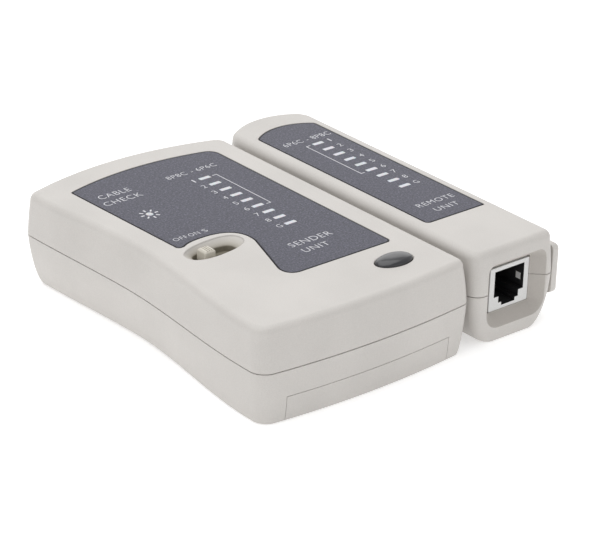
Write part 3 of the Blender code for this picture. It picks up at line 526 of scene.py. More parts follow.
def noise(material, scale, detail=2.0, roughness=0.5, stretch=(1.0, 1.0, 1.0)):
    node = add_node(
        material, "ShaderNodeTexNoise", Scale=scale, Detail=detail, Roughness=roughness)
    link(material, place_of(material, stretch), node.inputs["Vector"])
    return node.outputs["Fac"]


def ramp(material, value, stops):
    """Colours, or greys given as one number, at places along a value."""
    node = material.node_tree.nodes.new("ShaderNodeValToRGB")
    elements = node.color_ramp.elements
    while len(elements) < len(stops):
        elements.new(0.5)
    for element, (place, colour) in zip(elements, stops):
        element.position = place
        colour = colour if isinstance(colour, tuple) else (colour,) * 3
        element.color = (*colour, 1.0)
    link(material, value, node.inputs["Fac"])
    return node.outputs["Color"]


def rough_by(material, value, low, high):
    node = add_node(material, "ShaderNodeMapRange", To_Min=low, To_Max=high)
    link(material, value, node.inputs["Value"])
    link(material, node.outputs["Result"], shader_of(material).inputs["Roughness"])


def share_along(material, axis, low, high):
    """0 to 1 from low to high, in metres along one of the object's axes."""
    coordinates = add_node(material, "ShaderNodeTexCoord")
    split = add_node(material, "ShaderNodeSeparateXYZ")
    link(material, coordinates.outputs["Object"], split.inputs["Vector"])
    share = add_node(material, "ShaderNodeMapRange", From_Min=low, From_Max=high)
    link(material, split.outputs[axis], share.inputs["Value"])
    return share.outputs["Result"]


def bump_by(material, value, strength, distance, before=None):
    node = add_node(material, "ShaderNodeBump", Strength=strength, Distance=distance)
    link(material, value, node.inputs["Height"])
    if before:
        link(material, before, node.inputs["Normal"])
    link(material, node.outputs["Normal"], shader_of(material).inputs["Normal"])
    return node.outputs["Normal"]


def colour_by(material, colour, shade=None):
    """Link a colour to the base colour, multiplied by a shade where one is given."""
    if shade:
        node = material.node_tree.nodes.new("ShaderNodeMix")
        node.data_type = "RGBA"
        node.blend_type = "MULTIPLY"
        node.inputs[0].default_value = 1.0
        link(material, colour, node.inputs[6])
        link(material, shade, node.inputs[7])
        colour = node.outputs[2]
    link(material, colour, shader_of(material).inputs["Base Color"])


def moulded_plastic(name, colour, roughness, grain=0.12, cloud=0.03):
    """Moulded plastic with a fine spark-eroded skin and faint flow clouds."""
    material = new_material(name, colour, roughness)
    fine = noise(material, 3200.0, 2.0, 0.6)
    middle = noise(material, 850.0, 3.0, 0.55)
    wide = noise(material, 38.0, 3.0)
    darker = tuple(c * (1 - 2 * cloud) for c in colour)
    lighter = tuple(min(1.0, c * (1 + cloud)) for c in colour)
    base = ramp(material, wide, [(0.3, darker), (0.7, lighter)])
    speck = ramp(material, fine, [(0.35, 0.93), (0.65, 1.0)])
    colour_by(material, base, speck)
    rough_by(material, middle, roughness - 0.05, roughness + 0.09)
    first = bump_by(material, middle, grain, 0.00008)
    bump_by(material, fine, grain * 1.6, 0.00003, first)
    return material


def dish_plastic_painted_shade():
    """The shell's plastic in the switch's dish, browner and darker with depth as painted shade of
    the well.
    """
    material = moulded_plastic("dish_plastic_painted_shade", SHELL_COLOUR, 0.46)
    plain = shader_of(material).inputs["Base Color"].links[0].from_socket
    height = share_along(material, "Z", (WELL_TOP - 0.5) * MM, HEIGHT * MM)
    # Painted shade: a colour ramp by height, darkest at the well floor and fading out below the rim.
    deep, edge, middle = (0.34, 0.32, 0.26), (0.60, 0.58, 0.52), (0.85, 0.84, 0.80)
    stain_and_painted_shade = ramp(material, height, [(0.10, deep), (0.25, edge), (0.48, middle), (0.85, 1.0)])
    colour_by(material, plain, stain_and_painted_shade)
    return material


def label_film_material():
    """Dark screen-printed film with a fine pearly fleck."""
    material = new_material("label_film", (0.08, 0.08, 0.10), 0.36)
    fleck = noise(material, 1700.0, 4.0, 0.75)
    mottle = noise(material, 700.0)
    ground, film, pearl = (0.014, 0.014, 0.026), (0.039, 0.039, 0.066), (0.138, 0.138, 0.198)
    dark = ramp(material, fleck, [(0.34, ground), (0.50, film), (0.66, pearl)])
    shade = ramp(material, mottle, [(0.35, 0.80), (0.65, 1.0)])
    colour_by(material, dark, shade)
    rough_by(material, fleck, 0.30, 0.46)
    first = bump_by(material, fleck, 0.20, 0.00004)
    bump_by(material, mottle, 0.12, 0.00006, first)
    shader_of(material).inputs["Specular IOR Level"].default_value = 0.38
    return material


def ink_material():
    material = new_material("white_ink", (0.80, 0.80, 0.82), 0.5)
    cover = noise(material, 5200.0, 2.0, 0.6)
    thin, full = (0.46, 0.46, 0.50), (0.70, 0.70, 0.73)
    colour_by(material, ramp(material, cover, [(0.30, thin), (0.55, full)]))
    bump_by(material, cover, 0.15, 0.00002)
    return material


def lens_material(name, colour):
    """Milky translucent window."""
    material = new_material(name, colour, 0.28, coat=0.3)
    shader = shader_of(material)
    shader.inputs["Subsurface Weight"].default_value = 0.3
    shader.inputs["Subsurface Scale"].default_value = 0.001
    cloud = noise(material, 700.0)
    colour_by(material, ramp(material, cloud, [
        (0.3, tuple(c * 0.90 for c in colour)), (0.7, colour)]))
    rough_by(material, cloud, 0.24, 0.36)
    return material


def gloss_black(name, roughness, coat):
    """Glossy moulded black with hairline handling marks."""
    material = new_material(name, (0.016, 0.016, 0.020), roughness, coat=coat)
    marks = noise(material, 600.0, 4.0, 0.7, (1.0, 9.0, 1.0))
    cloud = noise(material, 120.0, 3.0)
    rough_by(material, marks, roughness - 0.04, roughness + 0.10)
    colour_by(material, ramp(material, cloud, [
        (0.3, (0.013, 0.013, 0.016)), (0.7, (0.026, 0.026, 0.032))]))
    bump_by(material, marks, 0.05, 0.00002)
    return material


def metal(name, colour, roughness, stretch):
    """Plated metal, brushed along the axis that is stretched least."""
    material = new_material(name, colour, roughness, metallic=1.0)
    streaks = noise(material, 900.0, 4.0, 0.6, stretch)
    stain_and_painted_shade = noise(material, 260.0, 3.0)
    base = ramp(material, stain_and_painted_shade, [(0.3, tuple(c * 0.78 for c in colour)), (0.65, colour)])
    shade = ramp(material, streaks, [(0.3, 0.88), (0.7, 1.0)])
    colour_by(material, base, shade)
    rough_by(material, streaks, roughness - 0.08, roughness + 0.14)
    bump_by(material, streaks, 0.12, 0.00003)
    return material


def board_material():
    """Green solder mask over faint copper tracks and pads."""
    material = new_material("circuit_board", (0.03, 0.17, 0.07), 0.35, coat=0.4)
    tracks = add_node(material, "ShaderNodeTexBrick", Scale=170.0, Mortar_Size=0.035)
    tracks.offset = 0.37
    link(material, place_of(material), tracks.inputs["Vector"])
    weave = noise(material, 2400.0)
    mask = ramp(material, tracks.outputs["Fac"], [
        (0.2, (0.022, 0.130, 0.055)), (0.8, (0.055, 0.230, 0.095))])
    shade = ramp(material, weave, [(0.3, 0.85), (0.7, 1.0)])
    colour_by(material, mask, shade)
    rough_by(material, weave, 0.28, 0.42)
    bump_by(material, tracks.outputs["Fac"], 0.2, 0.00005)
    return material


def jacket_material():
    """A battery's dark jacket with a plain copper-coloured band and grey ends."""
    dark, copper, rim = (0.03, 0.035, 0.05), (0.52, 0.26, 0.10), (0.36, 0.36, 0.37)
    material = new_material("battery_jacket", dark, 0.3, metallic=0.5, coat=0.3)
    bands = ramp(material, share_along(material, "X", -43.0 * MM, 3.0 * MM), [
        (0.0, rim), (0.025, dark), (0.66, dark), (0.665, copper), (0.975, copper), (0.98, rim)])
    scuff = noise(material, 500.0, 4.0, 0.65, (0.3, 1.0, 1.0))
    shade = ramp(material, scuff, [(0.3, 0.8), (0.6, 1.0)])
    colour_by(material, bands, shade)
    rough_by(material, scuff, 0.22, 0.42)
    bump_by(material, scuff, 0.08, 0.00004)
    return material


SHELL = moulded_plastic("shell_plastic", SHELL_COLOUR, 0.46)
# Dish faces: shell plastic with painted shade that darkens towards the well.
DISH_SHELL = dish_plastic_painted_shade()
# Jack recess walls and floors: the shell plastic darkened as painted shade, with a coarser skin.
RECESS_SHADED_SHELL = moulded_plastic("recess_plastic_painted_shade", (0.470, 0.440, 0.408), 0.52, 0.16)
KNOB = moulded_plastic("knob_plastic", (0.640, 0.605, 0.530), 0.42)
JACK_WHITE = moulded_plastic("jack_plastic", (0.72, 0.72, 0.71), 0.40, 0.05)
# Inside of the jack openings: near-black, partly the jack's dark insert and partly painted shade.
JACK_DARK_AND_SHADE = moulded_plastic("jack_inside_dark_and_painted_shade", (0.012, 0.012, 0.013), 0.55, 0.05)
MATT_BLACK = moulded_plastic("black_plastic", (0.022, 0.022, 0.024), 0.5)
RED_SKIN = moulded_plastic("red_insulation", (0.48, 0.020, 0.016), 0.42, 0.05)
BLACK_SKIN = moulded_plastic("black_insulation", (0.020, 0.020, 0.022), 0.42, 0.05)
FILM = label_film_material()
# Near-black for the label film's sides and border ring: painted shade of the pocket gap.
FILM_EDGE_SHADE = moulded_plastic("label_edge_painted_shade", (0.010, 0.010, 0.014), 0.75, 0.05)
INK = ink_material()
WINDOW = lens_material("window_film", (0.62, 0.62, 0.66))
LENS = lens_material("lamp_lens", (0.80, 0.80, 0.78))
BUTTON_BLACK = gloss_black("button_gloss", 0.34, 0.6)
STEEL = metal("plated_steel", (0.62, 0.61, 0.58), 0.32, (1.0, 0.15, 1.0))
GOLD = metal("contact_gold", (0.86, 0.62, 0.26), 0.28, (1.0, 0.1, 1.0))
BOARD = board_material()
JACKET = jacket_material()


# ------------------------ housings
def label_outline(size, far_radii, right_radius, near_left, notch=()):
    """A face label's outline: straight sides, an arched far edge and rounded corners."""
    right, left, near = size["right"], size["left"], size["near"]
    middle = (right + left) / 2

    def far(x):
        return size["far"] - (size["arc"] - math.sqrt(size["arc"] ** 2 - (x - middle) ** 2))

    r, s = far_radii
    points = rounded_corner(
        (right - right_radius, near), (right, near), (right, near + right_radius), 6)
    points += rounded_corner(
        (right, far(right) - r), (right, far(right)), (right - r, far(right - r)), 6)
    points += [(x, far(x)) for x in spread(right - r, left + s, 40)]
    points += rounded_corner((left + s, far(left + s)), (left, far(left)), (left, far(left) - s), 6)
    return points + list(notch) + near_left


def main_label_outline():
    """The main label bends round the switch dish, then runs straight to its near corner."""
    arc = oval(*LABEL_NOTCH, range(130, -19, -5))
    left, near = MAIN_LABEL["left"], MAIN_LABEL["near"]
    tip = (left + 1.3, arc[0][1] - 0.8)
    notch = rounded_corner((tip[0] - 0.05, tip[1] + 1.6), tip, arc[0], 6) + arc[1:]
    corner = rounded_corner((-27.7, -30.0), (-29.4, near), (-24.0, near), 12)
    return label_outline(MAIN_LABEL, (2.6, 0.6), 1.6, corner, notch)


def remote_label_outline():
    left, near = REMOTE_LABEL["left"], REMOTE_LABEL["near"]
    corner = rounded_corner((left, near + 1.5), (left, near), (left + 1.5, near), 10)
    return label_outline(REMOTE_LABEL, (0.5, 0.4), 0.5, corner)


def lamp_places(x):
    return [(x, FIRST_LAMP_Y - LAMP_PITCH * k) for k in range(LAMP_COUNT)]


def lamp_slots(x):
    half = (LAMP_SIZE[0] / 2 + 0.25, LAMP_SIZE[1] / 2 + 0.3)
    return merged([
        box((px - half[0], py - half[1], 26.0), (px + half[0], py + half[1], HEIGHT - 0.2))
        for px, py in lamp_places(x)
    ])


def posts(centres, radius, z_low, z_high):
    return merged([turned(place, [(radius, z_low), (radius, z_high)]) for place in centres])


def label_pocket(outline):
    return flared(inset(outline, -LABEL_GAP), LABEL_POCKET_Z, 0.12)


def jack_pocket(jack, x, y_low, y_high):
    half = jack.width / 2 + 0.4
    return box((x - half, y_low, JACK_BOTTOM - 0.3), (x + half, y_high, JACK_TOP + 0.45))


MAIN_JACKS = {"main_jack_8p": (JACK_8P, -32.0), "main_jack_6p": (JACK_6P, -7.0)}


def main_end_cuts():
    cuts = [recess_cutter(MAIN_RECESS)]
    cuts += [jack_pocket(jack, x, FAR_Y - 12.0, FAR_Y - 2.0) for jack, x in MAIN_JACKS.values()]
    return [("DIFFERENCE", cutter) for cutter in cuts]


def remote_end_cuts():
    cuts = [
        recess_cutter(REMOTE_NEAR_RECESS),
        recess_cutter(REMOTE_FAR_RECESS),
        jack_pocket(JACK_8P, REMOTE_X, REMOTE_NEAR_Y + 2.0, REMOTE_NEAR_Y + 12.0),
        jack_pocket(JACK_6P, REMOTE_X, REMOTE_FAR_Y - 12.0, REMOTE_FAR_Y - 2.0),
        box(*HOOK_HOLE),
    ]
    return [("DIFFERENCE", cutter) for cutter in cuts]


def dish_cutter():
    """The switch's dish: a softly rimmed oval bowl that slopes to a steep-walled well."""
    def ring(part, z, grow=0.0):
        centre = [mix(a, b, part) for a, b in zip(SWITCH, DISH)]
        radii = [mix(a, b, part) + grow for a, b in zip(WELL_RADII, DISH_RADII)]
        power = mix(WELL_POWER, OVAL_POWER, part)
        return at_height(oval(centre, radii, power=power, tilt=DISH_TILT * part), z)

    bowl = HEIGHT - DISH_RIM - WELL_TOP
    sections = [ring(0.0, HEIGHT - DISH_DEPTH, -0.2), ring(0.0, WELL_TOP - 0.35, -0.05)]
    sections += [ring(0.02, WELL_TOP - 0.12), ring(0.07, WELL_TOP + 0.02)]
    sections += [ring(k / 8, WELL_TOP + bowl * (k / 8) ** 1.2) for k in range(1, 9)]
    for degrees in (20, 40, 60, 76):
        turn = math.radians(degrees)
        rise, grow = DISH_RIM * (1 - math.sin(turn)), DISH_RIM * (1 - math.cos(turn))
        sections.append(ring(1.0, HEIGHT - rise, grow))
    past = DISH_RIM * 1.5
    return loft(sections + [ring(1.0, HEIGHT + 0.15, past), ring(1.0, HEIGHT + 2.0, past)])


def shade_faces(item, chosen, index=1):
    """Give the chosen faces, known by their middle in millimetres and normal, another material."""
    for face in item.data.polygons:
        if chosen(face.center / MM, face.normal):
            face.material_index = index


def in_recess(place, normal):
    """On a wall or the floor of a jack recess, past its rounded mouth; these faces get painted
    shade.
    """
    if not RECESS_Z[0] < place.z < RECESS_Z[1]:
        return False
    for recess in (MAIN_RECESS, REMOTE_NEAR_RECESS, REMOTE_FAR_RECESS):
        depth = (place.y - recess.mouth_y) / (recess.floor_y - recess.mouth_y)
        if recess.x_low < place.x < recess.x_high and 0.1 < depth < 1.2:
            middle = Vector(((recess.x_low + recess.x_high) / 2, place.y, sum(RECESS_Z) / 2))
            return depth > 0.85 or abs(normal.y) < 0.9 and normal.dot(middle - place) > 0.0
    return False


# The faces in and round the switch's dish, which get the painted shade.
def in_dish(place, normal):
    across, along = (place.x - DISH[0]) / DISH_RADII[0], (place.y - DISH[1]) / DISH_RADII[1]
    return across**2 + along**2 < 1.3 and 25.0 < place.z < HEIGHT - 0.3 and normal.z > -0.5


def make_main_cover():
    cover = to_object("main_cover", upper_solid(MAIN))
    block = prism(oval(DISH, tuple(r + 1.0 for r in DISH_RADII)), *DISH_BLOCK_Z)
    slot_x, slot_y = SWITCH_SLOT
    carve(cover, [
        ("DIFFERENCE", upper_hollow(MAIN)),
        ("UNION", block),
        ("UNION", posts(MAIN_SCREWS, COVER_POST_RADIUS, PARTING_Z + 0.3, COVER_POST_TOP)),
        ("DIFFERENCE", dish_cutter()),
        ("DIFFERENCE", box(
            (SWITCH[0] - slot_x, SWITCH[1] - slot_y, 24.0),
            (SWITCH[0] + slot_x, SWITCH[1] + slot_y, WELL_TOP - 0.1))),
        ("DIFFERENCE", label_pocket(main_label_outline())),
        ("DIFFERENCE", lamp_slots(MAIN_LAMP_X)),
        ("DIFFERENCE", turned(POWER_LAMP, [(1.8, 26.0), (1.8, HEIGHT - 0.2)])),
        ("DIFFERENCE", flared(ellipse(BUTTON, tuple(r + 0.22 for r in BUTTON_RADII)), 26.0, 0.35)),
    ] + main_end_cuts())
    # Recess faces get the darkened plastic as painted shade.
    shade_faces(cover, in_recess)
    # Dish faces get the plastic with painted shade by depth.
    shade_faces(cover, in_dish, 2)
    finish_piece(cover, "main_unit", [SHELL, RECESS_SHADED_SHELL, DISH_SHELL], ["main_top_shell"])


def door_box(shrink):
    """The space of the battery door, which takes the near face's share with it."""
    return box(
        (DOOR_X[0] + shrink, NEAR_Y - 5.0, -1.0),
        (DOOR_X[1] - shrink, DOOR_BACK_Y - shrink, DOOR_Z - shrink))


def screw_cuts(centres):
    return [
        ("UNION", posts(centres, BASE_POST_RADIUS, 1.0, PARTING_Z - 0.3)),
        ("DIFFERENCE", posts(centres, 1.75, 2.0, PARTING_Z + 3.0)),
        ("DIFFERENCE", merged([
            turned(place, [(3.35, -1.0), (3.35, 0.0), (3.05, 0.3), (2.95, 0.6), (2.95, 3.0)], 40)
            for place in centres
        ])),
    ]


def make_base(unit, housing, inside, screws, openings):
    """A lower shell: inside and openings are the unit's own steps before and after the screws."""
    base = to_object(f"{unit}_base", lower_solid(housing))
    carve(base, [
        ("UNION", lower_lip(housing)),
        ("DIFFERENCE", lower_hollow(housing)),
    ] + inside + screw_cuts(screws) + openings)
    # Recess faces get the darkened plastic as painted shade.
    shade_faces(base, in_recess)
    finish_piece(base, f"{unit}_unit", [SHELL, RECESS_SHADED_SHELL], [f"{unit}_bottom_shell"])


def make_battery_cover():
    door = to_object("battery_cover", lower_solid(MAIN))
    middle = (DOOR_X[0] + DOOR_X[1]) / 2
    grips = merged([
        prism(rounded_rectangle(middle - 9.0, middle + 9.0, y - 0.6, y + 0.6, 0.59), -1.0, 0.7)
        for y in DOOR_GRIPS_Y
    ])
    carve(door, [
        ("INTERSECT", door_box(DOOR_GAP)),
        ("DIFFERENCE", lower_hollow(MAIN)),
        ("DIFFERENCE", grips),
    ])
    finish_piece(door, "battery_door", [SHELL], ["battery_door"])


def make_remote_cover():
    cover = to_object("remote_cover", upper_solid(REMOTE))
    carve(cover, [
        ("DIFFERENCE", upper_hollow(REMOTE)),
        ("UNION", posts(REMOTE_SCREWS, COVER_POST_RADIUS, PARTING_Z + 0.3, COVER_POST_TOP)),
        ("DIFFERENCE", label_pocket(remote_label_outline())),
        ("DIFFERENCE", lamp_slots(REMOTE_LAMP_X)),
    ] + remote_end_cuts())
    # Recess faces get the darkened plastic as painted shade.
    shade_faces(cover, in_recess)
    finish_piece(cover, "remote_unit", [SHELL, RECESS_SHADED_SHELL], ["remote_top_shell"])


def make_side_hook():
    """Hook plate with rounded edges, on a neck that goes through the remote's outer wall."""
    def plate(shrink, x):
        outline = rounded_rectangle(
            HOOK_Y[0] + shrink, HOOK_Y[1] - shrink, HOOK_Z[0] + shrink, HOOK_Z[1] - shrink,
            1.6 - shrink)
        return [(x, y, z) for y, z in outline]

    inner, outer = HOOK_X
    hook = to_object("side_hook", loft([
        plate(0.35, inner), plate(0.1, inner + 0.07), plate(0.0, inner + 0.3),
        plate(0.0, outer - 0.35), plate(0.12, outer - 0.1), plate(0.4, outer),
    ]))
    carve(hook, [("UNION", box(*HOOK_NECK)), ("UNION", box(*HOOK_FOOT))])
    finish_piece(hook, "remote_unit", [SHELL], ["remote_side_clip"])


# ------------------------ labels and printing
def make_label_film(name, outline, body, node):
    """A thin film with rounded edges; its sides and a thin border ring are near-black as painted
    shade of the gap round it.
    """
    solid = loft([
        at_height(outline, LABEL_POCKET_Z + 0.04), at_height(outline, LABEL_TOP - 0.08),
        at_height(inset(outline, 0.03), LABEL_TOP - 0.02), at_height(inset(outline, 0.1), LABEL_TOP),
        at_height(inset(outline, 0.38), LABEL_TOP),
    ])
    film = to_object(name, solid)
    # The top face keeps the film; the sides and border ring get the painted shade.
    largest = max(film.data.polygons, key=lambda face: face.area * (face.center.z > 0.0298))
    for face in film.data.polygons:
        face.material_index = 0 if face.index == largest.index else 1
    finish_piece(film, body, [FILM, FILM_EDGE_SHADE], [node])


INK_LOW = LABEL_TOP + 0.004
INK_HIGH = LABEL_TOP + 0.03


def stroke(start, end, width):
    """A straight printed stroke."""
    a, b = Vector(start), Vector(end)
    along = (b - a).normalized() * width / 2
    side = Vector((-along.y, along.x))
    return prism([tuple(p) for p in (a - side, b - side, b + side, a + side)], INK_LOW, INK_HIGH)


def lettering(text, x_left, y_low, width, height):
    """Printed text that fills a given rectangle of the label."""
    curve = bpy.data.curves.new("text", "FONT")
    curve.body = text
    curve.space_character = 1.1
    curve.offset = -0.012
    curve.extrude = 0.01
    curve.resolution_u = 4
    item = bpy.data.objects.new("text", curve)
    bpy.context.scene.collection.objects.link(item)
    graph = bpy.context.evaluated_depsgraph_get()
    mesh = bpy.data.meshes.new_from_object(item.evaluated_get(graph))
    bpy.data.objects.remove(item)
    solid = bmesh.new()
    solid.from_mesh(mesh)
    bpy.data.meshes.remove(mesh)
    spans = ((x_left, x_left + width), (y_low, y_low + height), (INK_LOW, INK_HIGH))
    for axis, (start, end) in enumerate(spans):
        places = [vertex.co[axis] for vertex in solid.verts]
        low, high = min(places), max(places)
        for vertex, place in zip(solid.verts, places):
            vertex.co[axis] = mix(start, end, (place - low) / (high - low))
    bmesh.ops.remove_doubles(solid, verts=solid.verts, dist=0.001)
    return solid


def numerals(x, height=2.1):
    """The row of lamp names: eight numbers, then G for ground."""
    shapes = []
    for (_, y), text in zip(lamp_places(x), "12345678G"):
        width = {"1": 0.5, "G": 1.75}.get(text, 1.45)
        shapes.append(lettering(text, x - width / 2, y - height / 2, width, height))
    return shapes


def bracket(x, tick_x):
    """The line that spans the six lamps which a six-contact plug uses."""
    y_high = FIRST_LAMP_Y
    y_low = FIRST_LAMP_Y - 5 * LAMP_PITCH - 0.6
    half = 0.14
    outer, inner = (x + half, x - half) if tick_x < x else (x - half, x + half)
    outline = [
        (tick_x, y_high + half), (outer, y_high + half), (outer, y_low - half),
        (tick_x, y_low - half), (tick_x, y_low + half), (inner, y_low + half),
        (inner, y_high - half), (tick_x, y_high - half),
    ]
    return prism(outline, INK_LOW, INK_HIGH)


def sun_rays(centre):
    """A ring of eight short rays round the power lamp."""
    rays = []
    for k in range(8):
        turn = math.radians(45 * k)
        way = Vector((math.cos(turn), math.sin(turn)))
        start, end = Vector(centre) + way * 1.9, Vector(centre) + way * 3.15
        rays.append(stroke(start, end, 0.52))
    return rays


def make_print(name, shapes, body):
    item = to_object(name, merged(shapes))
    finish_piece(item, body, [INK], [], 60.0)


def make_windows(name, places, body, extra=()):
    """Milky windows in the label over the lamps."""
    half = (LAMP_SIZE[0] / 2, LAMP_SIZE[1] / 2)
    shapes = []
    for x, y in places:
        outline = rounded_rectangle(x - half[0], x + half[0], y - half[1], y + half[1], 0.25, 4)
        shapes.append(loft([
            at_height(outline, LABEL_TOP - 0.3), at_height(outline, LABEL_TOP + 0.01),
            at_height(inset(outline, 0.06), LABEL_TOP + 0.03)]))
    item = to_object(name, merged(shapes + list(extra)))
    finish_piece(item, body, [WINDOW], [])


# Each word with its left end, lower edge, width and height.
MAIN_WORDS = [
    ("CABLE", -39.7, 38.4, 11.6, 2.6),
    ("CHECK", -41.3, 33.5, 13.9, 2.6),
    ("8P8C - 6P6C", -14.3, 37.9, 19.0, 2.2),
    ("OFF", -40.3, 1.7, 5.0, 1.9),
    ("ON", -34.6, 1.7, 3.8, 1.9),
    ("S", -29.4, 1.7, 1.5, 1.9),
    ("SENDER", -15.4, -21.8, 15.8, 2.7),
    ("UNIT", -14.4, -26.7, 9.6, 2.5),
]
REMOTE_WORDS = [
    ("6P6C - 8P8C", 31.0, 36.0, 18.8, 2.4),
    ("REMOTE", 33.8, -23.1, 14.5, 2.4),
    ("UNIT", 36.4, -28.1, 9.4, 2.3),
]


def make_printing():
    shapes = [lettering(*word) for word in MAIN_WORDS] + [bracket(0.1, -1.5)] + numerals(-8.8)
    make_print("main_label_print", shapes + sun_rays(POWER_LAMP), "main_unit")
    rise = [(1.15, -0.3), (1.15, 0.02), (0.9, 0.16), (0.4, 0.22)]
    dome = turned(POWER_LAMP, [(radius, LABEL_TOP + z) for radius, z in rise])
    make_windows("main_label_windows", lamp_places(MAIN_LAMP_X), "main_unit", [dome])
    shapes = [lettering(*word) for word in REMOTE_WORDS] + [bracket(36.5, 38.0)] + numerals(46.0)
    make_print("remote_label_print", shapes, "remote_unit")
    make_windows("remote_label_windows", lamp_places(REMOTE_LAMP_X), "remote_unit")


# ------------------------ switch, button, screws
def make_switch_cap():
    """Square slider cap with a chamfered, ridged top, on its stem."""
    x, y = SWITCH[0] - SWITCH_STEP, SWITCH[1]

    def square(half, z):
        outline = rounded_rectangle(x - half, x + half, y - half, y + half, min(0.45, half / 2), 5)
        return at_height(outline, z)

    cap = to_object("switch_cap", loft([
        square(1.95, 27.3), square(2.05, 27.4), square(2.02, 30.1), square(1.95, 30.3),
        square(1.62, 30.66), square(1.48, 30.76), square(1.3, 30.8),
    ]))
    carve(cap, [
        ("UNION", box((x - 1.2, y - 1.2, 23.2), (x + 1.2, y + 1.2, 28.0))),
        ("DIFFERENCE", merged([
            box((x + dx - 0.16, y - 3.0, 30.5), (x + dx + 0.16, y + 3.0, 31.0))
            for dx in (-0.75, 0.0, 0.75)
        ])),
    ])
    finish_piece(cap, "switch_knob", [KNOB], ["switch_knob"])


def make_button_cap():
    """Glossy oval button with a long shallow dome."""
    def ring(z, grow=0.0, scale=1.0):
        return at_height(ellipse(BUTTON, tuple(r * scale + grow for r in BUTTON_RADII)), z)

    sections = [ring(27.0, BUTTON_FLANGE), ring(27.5, BUTTON_FLANGE), ring(27.5), ring(29.6)]
    for k in range(1, 15):
        turn = math.radians(90 * k / 14.5)
        sections.append(ring(29.9 + 1.68 * math.sin(turn) ** 1.1, scale=math.cos(turn) ** 0.75))
    cap = to_object("button_cap", loft(sections))
    finish_piece(cap, "push_button", [BUTTON_BLACK], ["push_button"], 50.0)


def make_screws():
    """Pan-head screws with a cross recess, seen from below in their pockets."""
    profile = [(0.4, 24.0), (1.4, 22.8)]
    z = 22.4
    while z > 3.4:
        profile += [(1.4, z), (1.12, z - 0.25), (1.12, z - 0.5), (1.4, z - 0.75)]
        z -= 1.0
    profile += [(1.4, 2.7), (2.55, 2.7), (2.6, 2.5), (2.6, 1.5), (2.35, 1.1), (1.8, 0.9), (1.0, 0.8)]
    a, b = 0.32, 1.45
    cross = [(a, a), (a, b), (-a, b), (-a, a), (-b, a), (-b, -a),
             (-a, -a), (-a, -b), (a, -b), (a, -a), (b, -a), (b, a)]

    def cross_ring(centre, scale, z):
        return [(centre[0] + scale * x, centre[1] + scale * y, z) for x, y in cross]

    for prefix, body, centres in (
        ("main", "main_unit", MAIN_SCREWS), ("remote", "remote_unit", REMOTE_SCREWS)
    ):
        for number, centre in enumerate(centres, 1):
            screw = to_object(f"{prefix}_case_screw_{number}", turned(centre, profile, 28))
            rings = [cross_ring(centre, *place) for place in ((1.0, 0.0), (1.0, 0.95), (0.55, 2.2))]
            carve(screw, [("DIFFERENCE", loft(rings))])
            finish_piece(screw, body, [STEEL], [f"{prefix}_screw_{number}"])


# ------------------------ jacks
def make_jack(name, jack, x, recess, facing, body):
    """A modular jack: white housing with a stepped plug opening, lined near-black as its dark insert
    and as painted shade.
    """
    half = jack.width / 2
    face_y = recess.floor_y + facing * 0.3

    def ring(shrink, depth):
        return at_length(rounded_rectangle(
            x - half + shrink, x + half - shrink, JACK_BOTTOM + shrink, JACK_TOP - shrink, 0.4, 3),
            face_y - facing * depth)

    housing = to_object(name + "_housing", loft([
        ring(0.14, 0.0), ring(0.03, 0.06), ring(0.0, 0.16), ring(0.0, JACK_DEPTH)]))
    opening = jack.opening / 2
    steps = []
    z_high = PLUG_TOP
    for share, z_low in PLUG_STEPS:
        steps += [(opening * share, z_high), (opening * share, z_low)]
        z_high = z_low
    outline = [(x + dx, z) for dx, z in steps] + [(x - dx, z) for dx, z in reversed(steps)]
    slot_ends = (face_y - facing * 0.8, face_y - facing * 2.4)
    slots = merged([
        box((x + dx - 0.22, min(slot_ends), 21.0), (x + dx + 0.22, max(slot_ends), 21.9))
        for dx in contact_offsets(jack)
    ])
    ends = (face_y - facing * PLUG_DEPTH, face_y + facing * 1.0)
    cuts = [
        ("DIFFERENCE", loft([at_length(outline, y) for y in ends])),
        ("DIFFERENCE", slots),
    ]
    tab_x = x + opening - 0.12
    if jack is JACK_8P:
        ends = sorted((face_y - facing * 1.2, face_y - facing * 3.2))
        cuts.append(("UNION", box((tab_x, ends[0], 15.2), (tab_x + 0.42, ends[1], 17.3))))
    carve(housing, cuts)

    def in_opening(place, normal):
        depth = (face_y - place.y) * facing
        on_tab = jack is JACK_8P and abs(place.x - tab_x) < 0.01
        within = abs(place.x - x) < opening + 0.02 and 9.6 < place.z < 22.0
        return within and 0.55 < depth < PLUG_DEPTH + 0.1 and not on_tab

    # Faces inside the opening get the near-black, partly the dark insert and partly painted shade.
    shade_faces(housing, in_opening)
    finish_piece(housing, body, [JACK_WHITE, JACK_DARK_AND_SHADE], [name])
    make_contacts(name, jack, x, face_y, facing, body)


def contact_offsets(jack):
    return [(k - (jack.pins - 1) / 2) * CONTACT_PITCH for k in range(jack.pins)]


def make_contacts(name, jack, x, face_y, facing, body):
    """Bent spring wires that reach from the jack's roof back down into the opening."""
    stops = [(1.6, 20.75), (2.4, 20.7), (4.0, 20.25), (7.0, 19.3), (10.0, 18.5), (12.4, 18.2)]
    wires = []
    for dx in contact_offsets(jack):
        wires.append(loft([
            at_length(ellipse((x + dx, z), (0.19, 0.17), 8), face_y - facing * depth)
            for depth, z in stops
        ]))
    reach = contact_offsets(jack)[-1] + 0.5
    ends = sorted((face_y - facing * 12.1, face_y - facing * 12.6))
    wires.append(box((x - reach, ends[0], 17.9), (x + reach, ends[1], 19.0)))
    comb = to_object(name + "_springs", merged(wires))
    finish_piece(comb, body, [GOLD], [name + "_contacts"])


